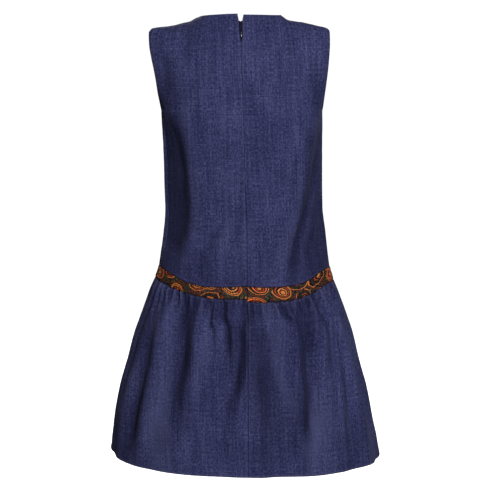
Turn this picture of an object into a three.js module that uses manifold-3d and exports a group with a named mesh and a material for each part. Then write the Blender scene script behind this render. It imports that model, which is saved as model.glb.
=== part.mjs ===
// A sleeveless, drop-waist dress with a gathered skirt, filled out as if worn.
// Millimetres, +Z up. The back (with the centre-back zip) faces +Y, the front -Y,
// the wearer's left is +X. The origin is the middle of the neck opening, level
// with the points where the shoulder seams meet the neckline.
import * as THREE from 'three';
import { mergeVertices } from 'three/addons/utils/BufferGeometryUtils.js';
import Module from 'manifold-3d';

// ---------------------------------------------------------------- sizes
const WALL = 1.5;            // cloth wall
const GAP = 0.3;             // clearance at every seam
const Z_UNDERARM = -180;     // lowest point of the armholes
const Z_HEM = -848.5;        // hem at the centre back
const HEM_TILT = 9;          // the hem is this much higher at the left side, lower at the right
const NECK_HALF = 77;        // half width of the neck opening
const NECK_BACK = 58;        // neckline behind the shoulder line
const NECK_FRONT = 84;       // neckline in front of the shoulder line
const NECK_POWER = 2.2;      // roundness of the neckline in plan
const NECK_BACK_Z = -2;      // back neckline level
const NECK_FRONT_Z = -76;    // centre-front neckline level
const TIP_Z = -31;           // outer end of the shoulder seam
const CB_TOP_X = -1.5;       // the back seam at the neckline
const ZIP_TAPE = 13;         // width of one zip tape
const TAPE_WALL = 1.0;       // zip tape thickness
const ZIP_ROWS_DOWN = 3;     // the zip reaches this many panel rows below the armholes

// Rings of the garment below the armholes. lean: sideways offset of the middle,
// half: half width, back / front: depth each way, power: roundness.
const RINGS = [
  { z: -180, lean: -3.9, half: 154.0, back: 112, front: 114, power: 2.80 },
  { z: -235, lean: -5.2, half: 153.2, back: 112, front: 120, power: 2.50 },
  { z: -282, lean: -6.1, half: 152.7, back: 108, front: 117, power: 2.36 },
  { z: -360, lean: -7.3, half: 152.4, back: 101, front: 106, power: 2.30 },
  { z: -410, lean: -9.0, half: 156.8, back: 104, front: 104, power: 2.28 },
  { z: -457, lean: -8.2, half: 163.2, back: 113, front: 108, power: 2.25 },
  { z: -489, lean: -8.0, half: 168.5, back: 121, front: 114, power: 2.22 },
  { z: -514, lean: -7.2, half: 178.2, back: 127, front: 120, power: 2.22 },
  { z: -540, lean: -8.2, half: 187.0, back: 135, front: 129, power: 2.20 },
  { z: -563, lean: -7.8, half: 195.8, back: 145, front: 137, power: 2.20 },
  { z: -609, lean: -7.0, half: 212.0, back: 158, front: 149, power: 2.20 },
  { z: -656, lean: -6.2, half: 224.2, back: 168, front: 159, power: 2.20 },
  { z: -703, lean: -5.7, half: 238.8, back: 176, front: 168, power: 2.20 },
  { z: -750, lean: -5.5, half: 249.8, back: 182, front: 176, power: 2.20 },
  { z: -797, lean: -7.1, half: 258.2, back: 187, front: 182, power: 2.20 },
  { z: -853, lean: -9.4, half: 267.0, back: 192, front: 188, power: 2.20 },
];

// The flat of the back ends at a soft edge on each side, and the cloth falls straight
// from there to the side seam: how far out the edge lies, and how much of it there is.
const FLANK = [
  { z: -900, left: 0.92, right: 0.70, muchLeft: 0.00, muchRight: 0.00 },
  { z: -501, left: 0.90, right: 0.52, muchLeft: 0.30, muchRight: 0.45 },
  { z: -470, left: 0.78, right: 0.53, muchLeft: 0.70, muchRight: 0.60 },
  { z: -440, left: 0.70, right: 0.56, muchLeft: 0.88, muchRight: 0.66 },
  { z: -375, left: 0.66, right: 0.68, muchLeft: 0.95, muchRight: 0.70 },
  { z: -290, left: 0.68, right: 0.80, muchLeft: 0.92, muchRight: 0.66 },
  { z: -262, left: 0.71, right: 0.82, muchLeft: 0.84, muchRight: 0.60 },
  { z: -230, left: 0.74, right: 0.84, muchLeft: 0.58, muchRight: 0.42 },
  { z: -200, left: 0.78, right: 0.86, muchLeft: 0.16, muchRight: 0.12 },
  { z: -180, left: 0.80, right: 0.86, muchLeft: 0.00, muchRight: 0.00 },
];

// Armhole edge from the underarm up to the shoulder tip: how far out it lies on
// each side, and its share of the depth (0 on the side seam, 1 at the back).
const ARMHOLE = [
  { z: -180, left: 150.1, right: 157.9, share: 0.00, power: 2.80 },
  { z: -176, left: 150.3, right: 158.2, share: 0.20, power: 2.68 },
  { z: -165, left: 151.4, right: 158.8, share: 0.36, power: 2.50 },
  { z: -148, left: 154.2, right: 160.4, share: 0.46, power: 2.38 },
  { z: -125, left: 157.3, right: 163.2, share: 0.52, power: 2.32 },
  { z: -100, left: 162.0, right: 166.4, share: 0.54, power: 2.30 },
  { z: -80, left: 166.5, right: 168.4, share: 0.54, power: 2.30 },
  { z: -57, left: 171.0, right: 170.4, share: 0.53, power: 2.30 },
  { z: -31, left: 173.5, right: 171.2, share: 0.52, power: 2.30 },
];

// Shoulder line outwards from the neck point.
const SHOULDER = [
  { out: 77, left: -1.6, right: 1.4 },
  { out: 84, left: -4.4, right: -3.2 },
  { out: 90, left: -8.2, right: -7.0 },
  { out: 95, left: -11.0, right: -8.6 },
  { out: 104, left: -13.1, right: -9.9 },
  { out: 117, left: -15.6, right: -12.3 },
  { out: 130, left: -18.2, right: -14.6 },
  { out: 143, left: -20.2, right: -17.4 },
  { out: 158, left: -22.0, right: -20.6 },
  { out: 167, left: -23.6, right: -23.6 },
  { out: 174, left: -31.0, right: -33.0 },
];

// Roll of the cloth over the shoulders: fore-and-aft profile powers.
const ROLL = { back: { p: 2.2, q: 2.2 }, front: { p: 1.7, q: 1.6 } };

// Dropped-waist band edges, by the share of the way from the centre to the side.
const BAND_BACK = [
  { at: 0.00, topL: -501.0, topR: -502.0, bottomL: -525.0, bottomR: -529.5 },
  { at: 0.13, topL: -503.4, topR: -504.0, bottomL: -525.3, bottomR: -531.2 },
  { at: 0.30, topL: -503.8, topR: -503.4, bottomL: -523.8, bottomR: -530.3 },
  { at: 0.40, topL: -500.8, topR: -502.2, bottomL: -519.6, bottomR: -527.0 },
  { at: 0.50, topL: -496.3, topR: -497.6, bottomL: -515.3, bottomR: -521.5 },
  { at: 0.59, topL: -490.0, topR: -491.0, bottomL: -510.2, bottomR: -515.5 },
  { at: 0.70, topL: -482.6, topR: -482.4, bottomL: -505.3, bottomR: -508.2 },
  { at: 0.85, topL: -477.5, topR: -479.6, bottomL: -501.5, bottomR: -506.5 },
  { at: 1.00, topL: -477.0, topR: -479.5, bottomL: -501.0, bottomR: -506.5 },
];
const BAND_FRONT = [
  { at: 0.00, topL: -490.0, topR: -490.0, bottomL: -516.0, bottomR: -516.0 },
  { at: 0.40, topL: -488.0, topR: -488.5, bottomL: -514.0, bottomR: -514.5 },
  { at: 0.75, topL: -481.0, topR: -482.5, bottomL: -506.0, bottomR: -509.0 },
  { at: 1.00, topL: -477.0, topR: -479.5, bottomL: -501.0, bottomR: -506.5 },
];

// The centre-back seam drifts a little to the wearer's right on its way down.
const BACK_SEAM = [
  { z: 0, x: -1.5 }, { z: -57, x: -2.7 }, { z: -172, x: -6.4 }, { z: -318, x: -10.6 },
  { z: -444, x: -14.0 }, { z: -527, x: -14.3 }, { z: -572, x: -16.0 }, { z: -848, x: -16.2 },
];

// How far each back edge stands off the seam line where the zip shows.
const ZIP_PARTING = [
  { z: 0, left: 5.2, right: 5.4 }, { z: -11, left: 3.4, right: 3.4 }, { z: -28, left: 3.0, right: 3.9 },
  { z: -42, left: 2.4, right: 3.7 }, { z: -60, left: 0.15, right: 0.15 }, { z: -900, left: 0.15, right: 0.15 },
];

// The largest skirt folds: a trough along a drifting line, with a lower ridge on
// each side. at / mid / low: place at the band, half way and at the hem, as the
// share of the way from centre back (0) over the side (1) to centre front (2),
// positive towards the wearer's left; width in the same measure; depth in mm;
// from / to: fade in and out below the band, as shares of the skirt's length.
const FOLDS = [
  { at: 0.70, mid: 0.62, low: 0.68, width: 0.060, depth: 8, from: 0.02, to: 1.10 },
  { at: 0.396, mid: 0.378, low: 0.374, width: 0.055, depth: 13, from: 0.00, to: 1.00 },
  { at: 0.123, mid: 0.090, low: 0.080, width: 0.045, depth: 7, from: 0.00, to: 0.62 },
  { at: 0.010, mid: 0.038, low: 0.030, width: 0.040, depth: 6, from: 0.08, to: 1.05 },
  { at: -0.050, mid: -0.107, low: -0.135, width: 0.045, depth: 5, from: 0.06, to: 1.10 },
  { at: -0.241, mid: -0.300, low: -0.320, width: 0.040, depth: 6, from: 0.00, to: 0.35 },
  { at: -0.379, mid: -0.360, low: -0.300, width: 0.045, depth: 10, from: 0.00, to: 1.05 },
  { at: -0.631, mid: -0.690, low: -0.680, width: 0.060, depth: 9, from: 0.02, to: 1.10 },
  { at: 1.28, mid: 1.33, low: 1.36, width: 0.060, depth: 10, from: 0.00, to: 1.10 },
  { at: 1.55, mid: 1.60, low: 1.58, width: 0.050, depth: 9, from: 0.00, to: 0.85 },
  { at: 1.83, mid: 1.86, low: 1.85, width: 0.055, depth: 11, from: 0.00, to: 1.10 },
  { at: -1.25, mid: -1.30, low: -1.33, width: 0.060, depth: 9, from: 0.00, to: 1.10 },
  { at: -1.50, mid: -1.53, low: -1.57, width: 0.055, depth: 11, from: 0.00, to: 1.05 },
  { at: -1.74, mid: -1.78, low: -1.80, width: 0.050, depth: 8, from: 0.00, to: 0.90 },
];

// Rows of the panels: shares of the height above the armhole level, and below it.
const ROWS_ABOVE = [0.03, 0.1, 0.2, 0.34, 0.5, 0.66, 0.8, 0.89, 0.95, 0.985, 1];
const ZIP_TOP_ROW = 0.95;
const ROWS_BELOW = 6;
const SKIRT_ROWS = [0, 0.05, 0.13, 0.25, 0.4, 0.56, 0.72, 0.87, 1];
const NECK_SHARE = 0.40;     // share of a half panel's columns that reach the neckline
const BACK_KNOTS = 12;       // columns of a half back, skirt columns are three times as many
const FRONT_KNOTS = 24;

// Slider and pull tab of the zip, in their own plane against the cloth.
const SLIDER = { long: 9, wideTop: 4.8, wideLow: 3.6, thick: 2.3, proud: 0.9, x: -1.1 };
const BRIDGE = { wide: 1.4, reach: 2.6, high: 3.6, inner: 1.7, under: 2.8 };
const TAB = { pivotUp: 1.85, thick: 1.0, eyeHalf: 1.2, eyeLow: -4.0, shoulder: 1.9, half: 2.9, belly: -7.9, low: -11.3, barHalf: 0.5 };
const HINGE_Z = -35.6;

// ---------------------------------------------------------------- helpers
const clamp = (v, a, b) => Math.min(b, Math.max(a, v));
const mix = (a, b, t) => a + (b - a) * t;
const smooth = (t) => { const c = clamp(t, 0, 1); return c * c * (3 - 2 * c); };

// Cubic through the rows of a table, with slopes from the neighbours.
function curve(rows, key, column) {
  const up = rows[0][key] < rows[rows.length - 1][key] ? rows : [...rows].reverse();
  const k = up.map((r) => r[key]);
  const v = up.map((r) => r[column]);
  const slope = k.map((_, i) => {
    if (i === 0) return (v[1] - v[0]) / (k[1] - k[0]);
    if (i === k.length - 1) return (v[i] - v[i - 1]) / (k[i] - k[i - 1]);
    const a = (v[i] - v[i - 1]) / (k[i] - k[i - 1]);
    const b = (v[i + 1] - v[i]) / (k[i + 1] - k[i]);
    return a * b <= 0 ? 0 : 2 * a * b / (a + b);
  });
  return (x) => {
    if (x <= k[0]) return v[0];
    if (x >= k[k.length - 1]) return v[v.length - 1];
    let i = 0;
    while (x > k[i + 1]) i += 1;
    const h = k[i + 1] - k[i];
    const t = (x - k[i]) / h;
    return v[i] * (2 * t ** 3 - 3 * t ** 2 + 1) + slope[i] * h * (t ** 3 - 2 * t ** 2 + t)
      + v[i + 1] * (-2 * t ** 3 + 3 * t ** 2) + slope[i + 1] * h * (t ** 3 - t ** 2);
  };
}

const ring = {
  lean: curve(RINGS, 'z', 'lean'), half: curve(RINGS, 'z', 'half'),
  back: curve(RINGS, 'z', 'back'), front: curve(RINGS, 'z', 'front'), power: curve(RINGS, 'z', 'power'),
};
const armhole = {
  left: curve(ARMHOLE, 'z', 'left'), right: curve(ARMHOLE, 'z', 'right'),
  share: curve(ARMHOLE, 'z', 'share'), power: curve(ARMHOLE, 'z', 'power'),
};
const shoulder = { left: curve(SHOULDER, 'out', 'left'), right: curve(SHOULDER, 'out', 'right') };
const flank = {
  left: curve(FLANK, 'z', 'left'), right: curve(FLANK, 'z', 'right'),
  muchLeft: curve(FLANK, 'z', 'muchLeft'), muchRight: curve(FLANK, 'z', 'muchRight'),
};
const backSeamX = curve(BACK_SEAM, 'z', 'x');
const parting = { left: curve(ZIP_PARTING, 'z', 'left'), right: curve(ZIP_PARTING, 'z', 'right') };

// Angle on the ring that lies a given share of the quarter's length from its middle.
const PHI = (() => {
  const steps = 400;
  const power = 2.2;
  const depth = 0.72;
  const len = [0];
  let px = 0;
  let py = depth;
  for (let i = 1; i <= steps; i += 1) {
    const a = (Math.PI / 2) * (i / steps);
    const x = Math.sin(a) ** (2 / power);
    const y = depth * Math.max(Math.cos(a), 0) ** (2 / power);
    len.push(len[i - 1] + Math.hypot(x - px, y - py));
    px = x; py = y;
  }
  return (share) => {
    const want = clamp(share, 0, 1) * len[steps];
    let lo = 0;
    let hi = steps;
    while (hi - lo > 1) { const m = (lo + hi) >> 1; if (len[m] <= want) lo = m; else hi = m; }
    const t = (want - len[lo]) / (len[hi] - len[lo]);
    return (Math.PI / 2) * ((lo + t) / steps);
  };
})();

// Share of the way round (0 centre back, 1 side, 2 centre front, sign = side)
// to the unit ring: across -1..1 and depth 0..1 (back) or -1..0 (front).
function unitRing(round, power) {
  const side = Math.sign(round) || 1;
  const r = Math.abs(round);
  const front = r > 1;
  const a = PHI(front ? 2 - r : r);
  return {
    across: side * Math.sin(a) ** (2 / power),
    deep: (front ? -1 : 1) * Math.max(Math.cos(a), 0) ** (2 / power),
  };
}

function foldOffset(round, down) {
  let sum = 0;
  for (const f of FOLDS) {
    const place = down < 0.5 ? mix(f.at, f.mid, down * 2) : mix(f.mid, f.low, down * 2 - 1);
    const x = (round - place) / (f.width * mix(0.7, 1.25, down));
    if (Math.abs(x) > 5) continue;
    const start = smooth((down - f.from) / 0.12);
    const stop = 1 - smooth((down - (f.to - 0.35)) / 0.35);
    const shape = -Math.exp(-x * x) + 0.4 * (Math.exp(-((x - 2) ** 2)) + Math.exp(-((x + 2) ** 2)));
    sum += f.depth * shape * start * stop;
  }
  return sum;
}

// A point on the outside of the cloth below the armholes.
function ringPoint(round, z, offset = 0) {
  const power = ring.power(z);
  const u = unitRing(round, power);
  const half = ring.half(z);
  const depth = u.deep >= 0 ? ring.back(z) : ring.front(z);
  const x = ring.lean(z) + half * u.across;
  const y = depth * u.deep;
  if (!offset) return new THREE.Vector3(x, y, z);
  const nx = Math.sign(u.across) * Math.abs(u.across) ** (power - 1) / half;
  const ny = Math.sign(u.deep) * Math.abs(u.deep) ** (power - 1) / depth;
  const n = Math.hypot(nx, ny) || 1;
  return new THREE.Vector3(x + offset * nx / n, y + offset * ny / n, z);
}

// Draw the back in towards the line from the edge of its flat to the side seam.
function fallFlank(p, side, round, z, above) {
  const power = ring.power(z);
  const u = unitRing(round, power);
  const out = Math.abs(u.across);
  const at = side > 0 ? flank.left(z) : flank.right(z);
  const much = (side > 0 ? flank.muchLeft(z) : flank.muchRight(z)) * smooth(above / 55);
  const edge = Math.max(1 - at ** power, 0) ** (1 / power);
  const gap = edge * clamp(1 - out, 0, 1) / (1 - at) - u.deep;
  const pull = 0.5 * (gap - Math.hypot(gap, 0.05)) * smooth((out - at + 0.16) / 0.16) * smooth((1 - out) / 0.05);
  if (p.y > 0) p.y += pull * much * ring.back(z);
  return p;
}

// Share of the way round of the centre-back seam at a level.
function backSeamRound(z) {
  const across = (backSeamX(z) - ring.lean(z)) / ring.half(z);
  let lo = 0;
  let hi = 0.5;
  const want = Math.abs(across);
  for (let i = 0; i < 40; i += 1) {
    const m = (lo + hi) / 2;
    if (unitRing(m, ring.power(z)).across < want) lo = m; else hi = m;
  }
  return Math.sign(across) * lo;
}

// A panel's columns: 0 on its inner seam (centre back or centre front), 1 on the side seam.
function roundOf(face, side, share, z) {
  if (face === 'back') { const cb = backSeamRound(z); return mix(cb, side, share); }
  return side * (2 - share);
}

function quarterLength(z) {
  const a = ring.half(z);
  const b = ring.back(z);
  return (Math.PI / 2) * Math.sqrt((a * a + b * b) / 2) * 1.03;
}

// Seam levels of the band, straight between the knots so that neighbours agree.
const knotShares = (count, first) => {
  const out = [0];
  for (let i = 0; i < count; i += 1) out.push(mix(first, 1, i / (count - 1)));
  return out;
};
const BACK_SHARES = knotShares(BACK_KNOTS, 0.0585);
const FRONT_SHARES = Array.from({ length: FRONT_KNOTS / 2 + 1 }, (_, i) => i / (FRONT_KNOTS / 2));
const bandTables = {
  back: Object.fromEntries(['topL', 'topR', 'bottomL', 'bottomR'].map((c) => [c, curve(BAND_BACK, 'at', c)])),
  front: Object.fromEntries(['topL', 'topR', 'bottomL', 'bottomR'].map((c) => [c, curve(BAND_FRONT, 'at', c)])),
};
function bandZ(face, side, edge, share) {
  const f = bandTables[face][edge + (side > 0 ? 'L' : 'R')];
  const knots = face === 'back' ? BACK_SHARES : FRONT_SHARES;
  let i = 0;
  while (i < knots.length - 2 && share > knots[i + 1]) i += 1;
  return mix(f(knots[i]), f(knots[i + 1]), clamp((share - knots[i]) / (knots[i + 1] - knots[i]), 0, 1));
}

// ---------------------------------------------------------------- the bodice above the armhole level
function armEdge(side, z) {
  const zz = Math.min(z, TIP_Z);
  const share = armhole.share(zz);
  const power = armhole.power(zz);
  const across = (1 - share ** power) ** (1 / power);
  const lean = leanAbove(zz);
  const out = side > 0 ? armhole.left(zz) - lean : armhole.right(zz) + lean;
  return { across, scale: out / across };
}
function leanAbove(z) { return ring.lean(Z_UNDERARM) * clamp(z / Z_UNDERARM, 0, 1); }

// Top edge of a half panel: the neckline, then the shoulder seam.
function topEdge(face, side, share) {
  if (share <= NECK_SHARE) {
    const a = (Math.PI / 2) * (share / NECK_SHARE);
    const sx = Math.sin(a) ** (2 / NECK_POWER);
    const cy = Math.max(Math.cos(a), 0) ** (2 / NECK_POWER);
    const start = face === 'back' ? CB_TOP_X : 0;
    const neckZ = side > 0 ? shoulder.left(NECK_HALF) : shoulder.right(NECK_HALF);
    const z = face === 'back'
      ? mix(neckZ, NECK_BACK_Z, smooth(cy * 1.2))
      : mix(neckZ, NECK_FRONT_Z, cy ** 1.5);
    return { x: mix(start, side * NECK_HALF, sx), y: (face === 'back' ? NECK_BACK : NECK_FRONT) * cy, z };
  }
  const t = (share - NECK_SHARE) / (1 - NECK_SHARE);
  const tip = side > 0 ? armhole.left(TIP_Z) : armhole.right(TIP_Z);
  const out = mix(NECK_HALF, tip, t);
  return { x: side * out, y: 0, z: side > 0 ? shoulder.left(out) : shoulder.right(out) };
}

function upperPoint(face, side, share, up) {
  const depth = face === 'back' ? ring.back(Z_UNDERARM) : ring.front(Z_UNDERARM);
  const top = topEdge(face, side, share);
  const z = mix(Z_UNDERARM, top.z, up);
  const power = armhole.power(Math.min(z, TIP_Z));
  const edge = armEdge(side, mix(Z_UNDERARM, TIP_Z, up));
  const edgeTop = armEdge(side, TIP_Z);
  const here = armEdge(side, z);
  // how far across, as a share of the way from the inner seam to the armhole edge
  const seamAt = (zz, scale) => (face === 'back' ? side * (backSeamX(zz) - leanAbove(zz)) / scale : 0);
  const low = unitRing(roundOf(face, side, share, Z_UNDERARM), ring.power(Z_UNDERARM)).across * side;
  const lowSeam = seamAt(Z_UNDERARM, ring.half(Z_UNDERARM));
  const g0 = (low - lowSeam) / (1 - lowSeam);
  const topScale = armEdge(side, top.z).scale;
  const topSeam = seamAt(top.z, topScale);
  const g1 = (side * (top.x - leanAbove(top.z)) / topScale - topSeam) / (edgeTop.across - topSeam);
  const seam = seamAt(z, here.scale);
  const across = clamp(seam + (edge.across - seam) * mix(g0, g1, up), -1, 1);
  const round = Math.max(1 - Math.abs(across) ** power, 0) ** (1 / power);
  const roll = ROLL[face];
  const topAcross = side * (top.x - leanAbove(top.z)) / topScale;
  const topPower = armhole.power(TIP_Z);
  const topRound = Math.max(1 - Math.abs(topAcross) ** topPower, 0) ** (1 / topPower);
  const topT = clamp(top.y / (depth * topRound), 0, 1);
  const uTop = (1 - topT ** roll.q) ** (1 / roll.p);
  const T = Math.max(1 - (up * uTop) ** roll.p, 0) ** (1 / roll.q);
  const y = depth * round * T * (face === 'back' ? 1 : -1);
  return new THREE.Vector3(leanAbove(z) + side * here.scale * across, y, z);
}

// ---------------------------------------------------------------- walls from grids
// grid[row][column] of outer points; free(row, column, normal) may tidy the normal
// on a seam so that two neighbours are thickened the same way.
function gridNormals(grid, outward, free) {
  const rows = grid.length;
  const cols = grid[0].length;
  return grid.map((line, i) => line.map((p, j) => {
    const a = grid[Math.max(i - 1, 0)][j];
    const b = grid[Math.min(i + 1, rows - 1)][j];
    const c = line[Math.max(j - 1, 0)];
    const d = line[Math.min(j + 1, cols - 1)];
    const n = new THREE.Vector3().crossVectors(b.clone().sub(a), d.clone().sub(c));
    if (n.dot(outward(p)) < 0) n.negate();
    n.normalize();
    if (free) free(i, j, n, p);
    return n.normalize();
  }));
}

function wall(name, grid, normals, outerOffset, innerOffset, colour, roughness = 0.9, metalness = 0) {
  const rows = grid.length;
  const cols = grid[0].length;
  const pts = [];
  const put = (off) => grid.forEach((line, i) => line.forEach((p, j) => {
    pts.push(p.clone().addScaledVector(normals[i][j], off));
  }));
  put(-outerOffset);
  put(-innerOffset);
  const id = (layer, i, j) => layer * rows * cols + i * cols + j;
  const index = [];
  const quad = (a, b, c, d) => index.push(a, b, c, a, c, d);
  for (let i = 0; i < rows - 1; i += 1) {
    for (let j = 0; j < cols - 1; j += 1) {
      quad(id(0, i, j), id(0, i, j + 1), id(0, i + 1, j + 1), id(0, i + 1, j));
      quad(id(1, i, j), id(1, i + 1, j), id(1, i + 1, j + 1), id(1, i, j + 1));
    }
  }
  for (let j = 0; j < cols - 1; j += 1) {
    quad(id(0, 0, j + 1), id(0, 0, j), id(1, 0, j), id(1, 0, j + 1));
    quad(id(0, rows - 1, j), id(0, rows - 1, j + 1), id(1, rows - 1, j + 1), id(1, rows - 1, j));
  }
  for (let i = 0; i < rows - 1; i += 1) {
    quad(id(0, i, 0), id(0, i + 1, 0), id(1, i + 1, 0), id(1, i, 0));
    quad(id(0, i + 1, cols - 1), id(0, i, cols - 1), id(1, i, cols - 1), id(1, i + 1, cols - 1));
  }
  // face outwards
  let volume = 0;
  for (let t = 0; t < index.length; t += 3) {
    volume += pts[index[t]].dot(new THREE.Vector3().crossVectors(pts[index[t + 1]], pts[index[t + 2]]));
  }
  if (volume < 0) for (let t = 0; t < index.length; t += 3) { const s = index[t + 1]; index[t + 1] = index[t + 2]; index[t + 2] = s; }
  const geometry = new THREE.BufferGeometry();
  geometry.setAttribute('position', new THREE.BufferAttribute(new Float32Array(pts.flatMap((p) => [p.x, p.y, p.z])), 3));
  geometry.setIndex(index);
  geometry.computeVertexNormals();
  const mesh = new THREE.Mesh(geometry, new THREE.MeshStandardMaterial({ color: colour, roughness, metalness }));
  mesh.name = name;
  return mesh;
}

const DENIM = 0x363a5c;
const PRINT = 0xb8641e;
const ZIP_BLACK = 0x17130f;
const outwardRound = (p) => new THREE.Vector3(p.x, p.y, 0);
const outwardUpper = (p) => new THREE.Vector3(p.x * 0.4, p.y, Math.max(p.z - Z_UNDERARM, 0) * 0.8);

// ---------------------------------------------------------------- bodice
function bodiceColumn(face, side, share, seamShift) {
  const column = [];
  const zLow = bandZ(face, side, 'top', share) + GAP / 2;
  for (let i = 0; i < ROWS_BELOW; i += 1) {
    const z = mix(zLow, Z_UNDERARM, i / ROWS_BELOW);
    const shift = seamShift / quarterLength(z);
    const round = roundOf(face, side, share, z) + shift;
    const point = ringPoint(round, z);
    column.push(face === 'back' ? fallFlank(point, side, round, z, z - zLow) : point);
  }
  for (const up of [0, ...ROWS_ABOVE]) column.push(upperPoint(face, side, share, up));
  return column;
}

const ROWS_ALL = ROWS_BELOW + 1 + ROWS_ABOVE.length;
const transpose = (columns) => columns[0].map((_, i) => columns.map((c) => c[i]));

// Keep half a seam gap clear on the side seam, the shoulder seam and, on the back, the centre seam.
function tidyBodice(face, columns, sides) {
  const last = columns.length - 1;
  const ends = face === 'back' ? [[last, sides]] : [[0, -1], [last, 1]];
  for (const [j, side] of ends) {
    for (let i = 0; i <= ROWS_BELOW; i += 1) {
      columns[j][i].y = (face === 'back' ? 1 : -1) * GAP / 2;
      columns[j][i].x = columns[j][i].x + 0 * side;
    }
  }
  for (const column of columns) {
    const p = column[ROWS_ALL - 1];
    const yMin = (face === 'back' ? 1 : -1) * GAP / 2;
    if (Math.abs(p.y) < GAP / 2) p.y = yMin;
  }
}

function bodiceNormalRule(face, cols) {
  return (i, j, n) => {
    if (i === 0) n.z = 0;
    const sideEdge = face === 'back' ? j === cols - 1 : (j === 0 || j === cols - 1);
    if (sideEdge && i <= ROWS_BELOW) n.y = 0;
    if (face === 'back' && j === 0) n.x = 0;
    if (i === ROWS_ALL - 1) {
      const share = face === 'back' ? BACK_SHARES[j] : FRONT_SHARES[Math.abs(j - FRONT_KNOTS / 2)];
      if (share >= NECK_SHARE - 1e-6) n.y = 0;
    }
  };
}

function bodiceBack(side) {
  const columns = BACK_SHARES.map((share) => bodiceColumn('back', side, share, 0));
  tidyBodice('back', columns, side);
  const base = transpose(columns);
  const normals = gridNormals(base, (p) => (p.z > Z_UNDERARM + 5 ? outwardUpper(p) : outwardRound(p)), bodiceNormalRule('back', columns.length));
  const panel = base.map((line) => line.map((p) => p.clone()));
  panel.forEach((line, i) => {
    const p = line[0];
    const q = base[i][1];
    const dir = q.clone().sub(base[i][0]).normalize();
    p.addScaledVector(dir, (side > 0 ? parting.left : parting.right)(p.z));
  });
  // the zip tape follows the first column of the panel, inside it
  const first = ROWS_BELOW - ZIP_ROWS_DOWN;
  const lastRow = ROWS_BELOW + 1 + ROWS_ABOVE.indexOf(ZIP_TOP_ROW);
  const tapeGrid = [];
  const tapeNormals = [];
  for (let i = first; i <= lastRow; i += 1) {
    const dir = base[i][1].clone().sub(base[i][0]);
    const width = dir.length();
    dir.normalize();
    tapeGrid.push([base[i][0].clone().addScaledVector(dir, 0.4), base[i][0].clone().addScaledVector(dir, Math.min(ZIP_TAPE, width - 0.2))]);
    tapeNormals.push([normals[i][0].clone(), normals[i][1].clone()]);
  }
  const word = side > 0 ? 'left' : 'right';
  return {
    panel: wall(`bodice_back_${word}`, panel, normals, 0, WALL, DENIM),
    tape: wall(`zip_tape_${word}`, tapeGrid, tapeNormals, WALL + GAP, WALL + GAP + TAPE_WALL, ZIP_BLACK, 0.8),
    base,
    normals,
  };
}

function bodiceFront() {
  const columns = [];
  for (let j = -FRONT_KNOTS / 2; j <= FRONT_KNOTS / 2; j += 1) {
    const side = j < 0 ? -1 : 1;
    columns.push(bodiceColumn('front', side, FRONT_SHARES[Math.abs(j)], 0));
  }
  tidyBodice('front', columns, 0);
  const base = transpose(columns);
  const normals = gridNormals(base, (p) => (p.z > Z_UNDERARM + 5 ? outwardUpper(p) : outwardRound(p)), bodiceNormalRule('front', columns.length));
  return wall('bodice_front', base, normals, 0, WALL, DENIM);
}

// ---------------------------------------------------------------- band and skirt
function levelPiece(name, face, side, rows, perKnot, zOf, withFolds, colour) {
  const columns = [];
  const knots = face === 'back' ? BACK_SHARES : FRONT_SHARES;
  const shares = [];
  for (let i = 0; i < knots.length - 1; i += 1) for (let k = 0; k < perKnot; k += 1) shares.push(mix(knots[i], knots[i + 1], k / perKnot));
  shares.push(1);
  const list = face === 'back' ? shares.map((s) => [side, s])
    : [...shares.slice(1).reverse().map((s) => [-1, s]), ...shares.map((s) => [1, s])];
  for (const [sd, share] of list) {
    const column = [];
    for (const r of rows) {
      const z = zOf(sd, share, r);
      const trim = (GAP / 2) / quarterLength(z);
      let at = share;
      if (share >= 1) at = 1 - trim;
      if (face === 'back' && share === 0) at = trim;
      const round = roundOf(face, sd, at, z);
      const down = withFolds ? clamp(r, 0, 1) : 0;
      column.push(ringPoint(round, z, withFolds ? foldOffset(round, down) : 0));
    }
    columns.push(column);
  }
  const grid = transpose(columns);
  const cols = columns.length;
  const normals = gridNormals(grid, outwardRound, (i, j, n) => {
    if (!withFolds || i === 0) n.z = 0;
    const sideEdge = face === 'back' ? j === cols - 1 : (j === 0 || j === cols - 1);
    if (sideEdge) n.y = 0;
    if (face === 'back' && j === 0) n.x = 0;
  });
  return wall(name, grid, normals, 0, WALL, colour);
}

const hemLevel = (across) => Z_HEM + HEM_TILT * (0.45 * across + 0.35 * across ** 7);
const bandPiece = (name, face, side) => levelPiece(name, face, side, [0, 1], 1,
  (sd, share, r) => mix(bandZ(face, sd, 'top', share) - GAP / 2, bandZ(face, sd, 'bottom', share) + GAP / 2, r), false, PRINT);
const skirtPiece = (name, face, side) => levelPiece(name, face, side, SKIRT_ROWS, face === 'back' ? 3 : 2,
  (sd, share, r) => mix(bandZ(face, sd, 'bottom', share) - GAP / 2,
    hemLevel(unitRing(roundOf(face, sd, share, -800), 2.1).across), r), true, DENIM);

// ---------------------------------------------------------------- slider and pull tab
const wasm = await Module();
wasm.setup();
function toSolid(geometry) {
  const g = geometry.clone();
  g.deleteAttribute('normal');
  g.deleteAttribute('uv');
  const m = mergeVertices(g, 1e-4);
  return new wasm.Manifold(new wasm.Mesh({
    numProp: 3,
    vertProperties: new Float32Array(m.attributes.position.array),
    triVerts: new Uint32Array(m.index.array),
  }));
}
function fromSolid(solid) {
  const mesh = solid.getMesh();
  const g = new THREE.BufferGeometry();
  g.setAttribute('position', new THREE.BufferAttribute(new Float32Array(mesh.vertProperties), 3));
  g.setIndex(new THREE.BufferAttribute(new Uint32Array(mesh.triVerts), 1));
  g.computeVertexNormals();
  return g;
}
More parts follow.
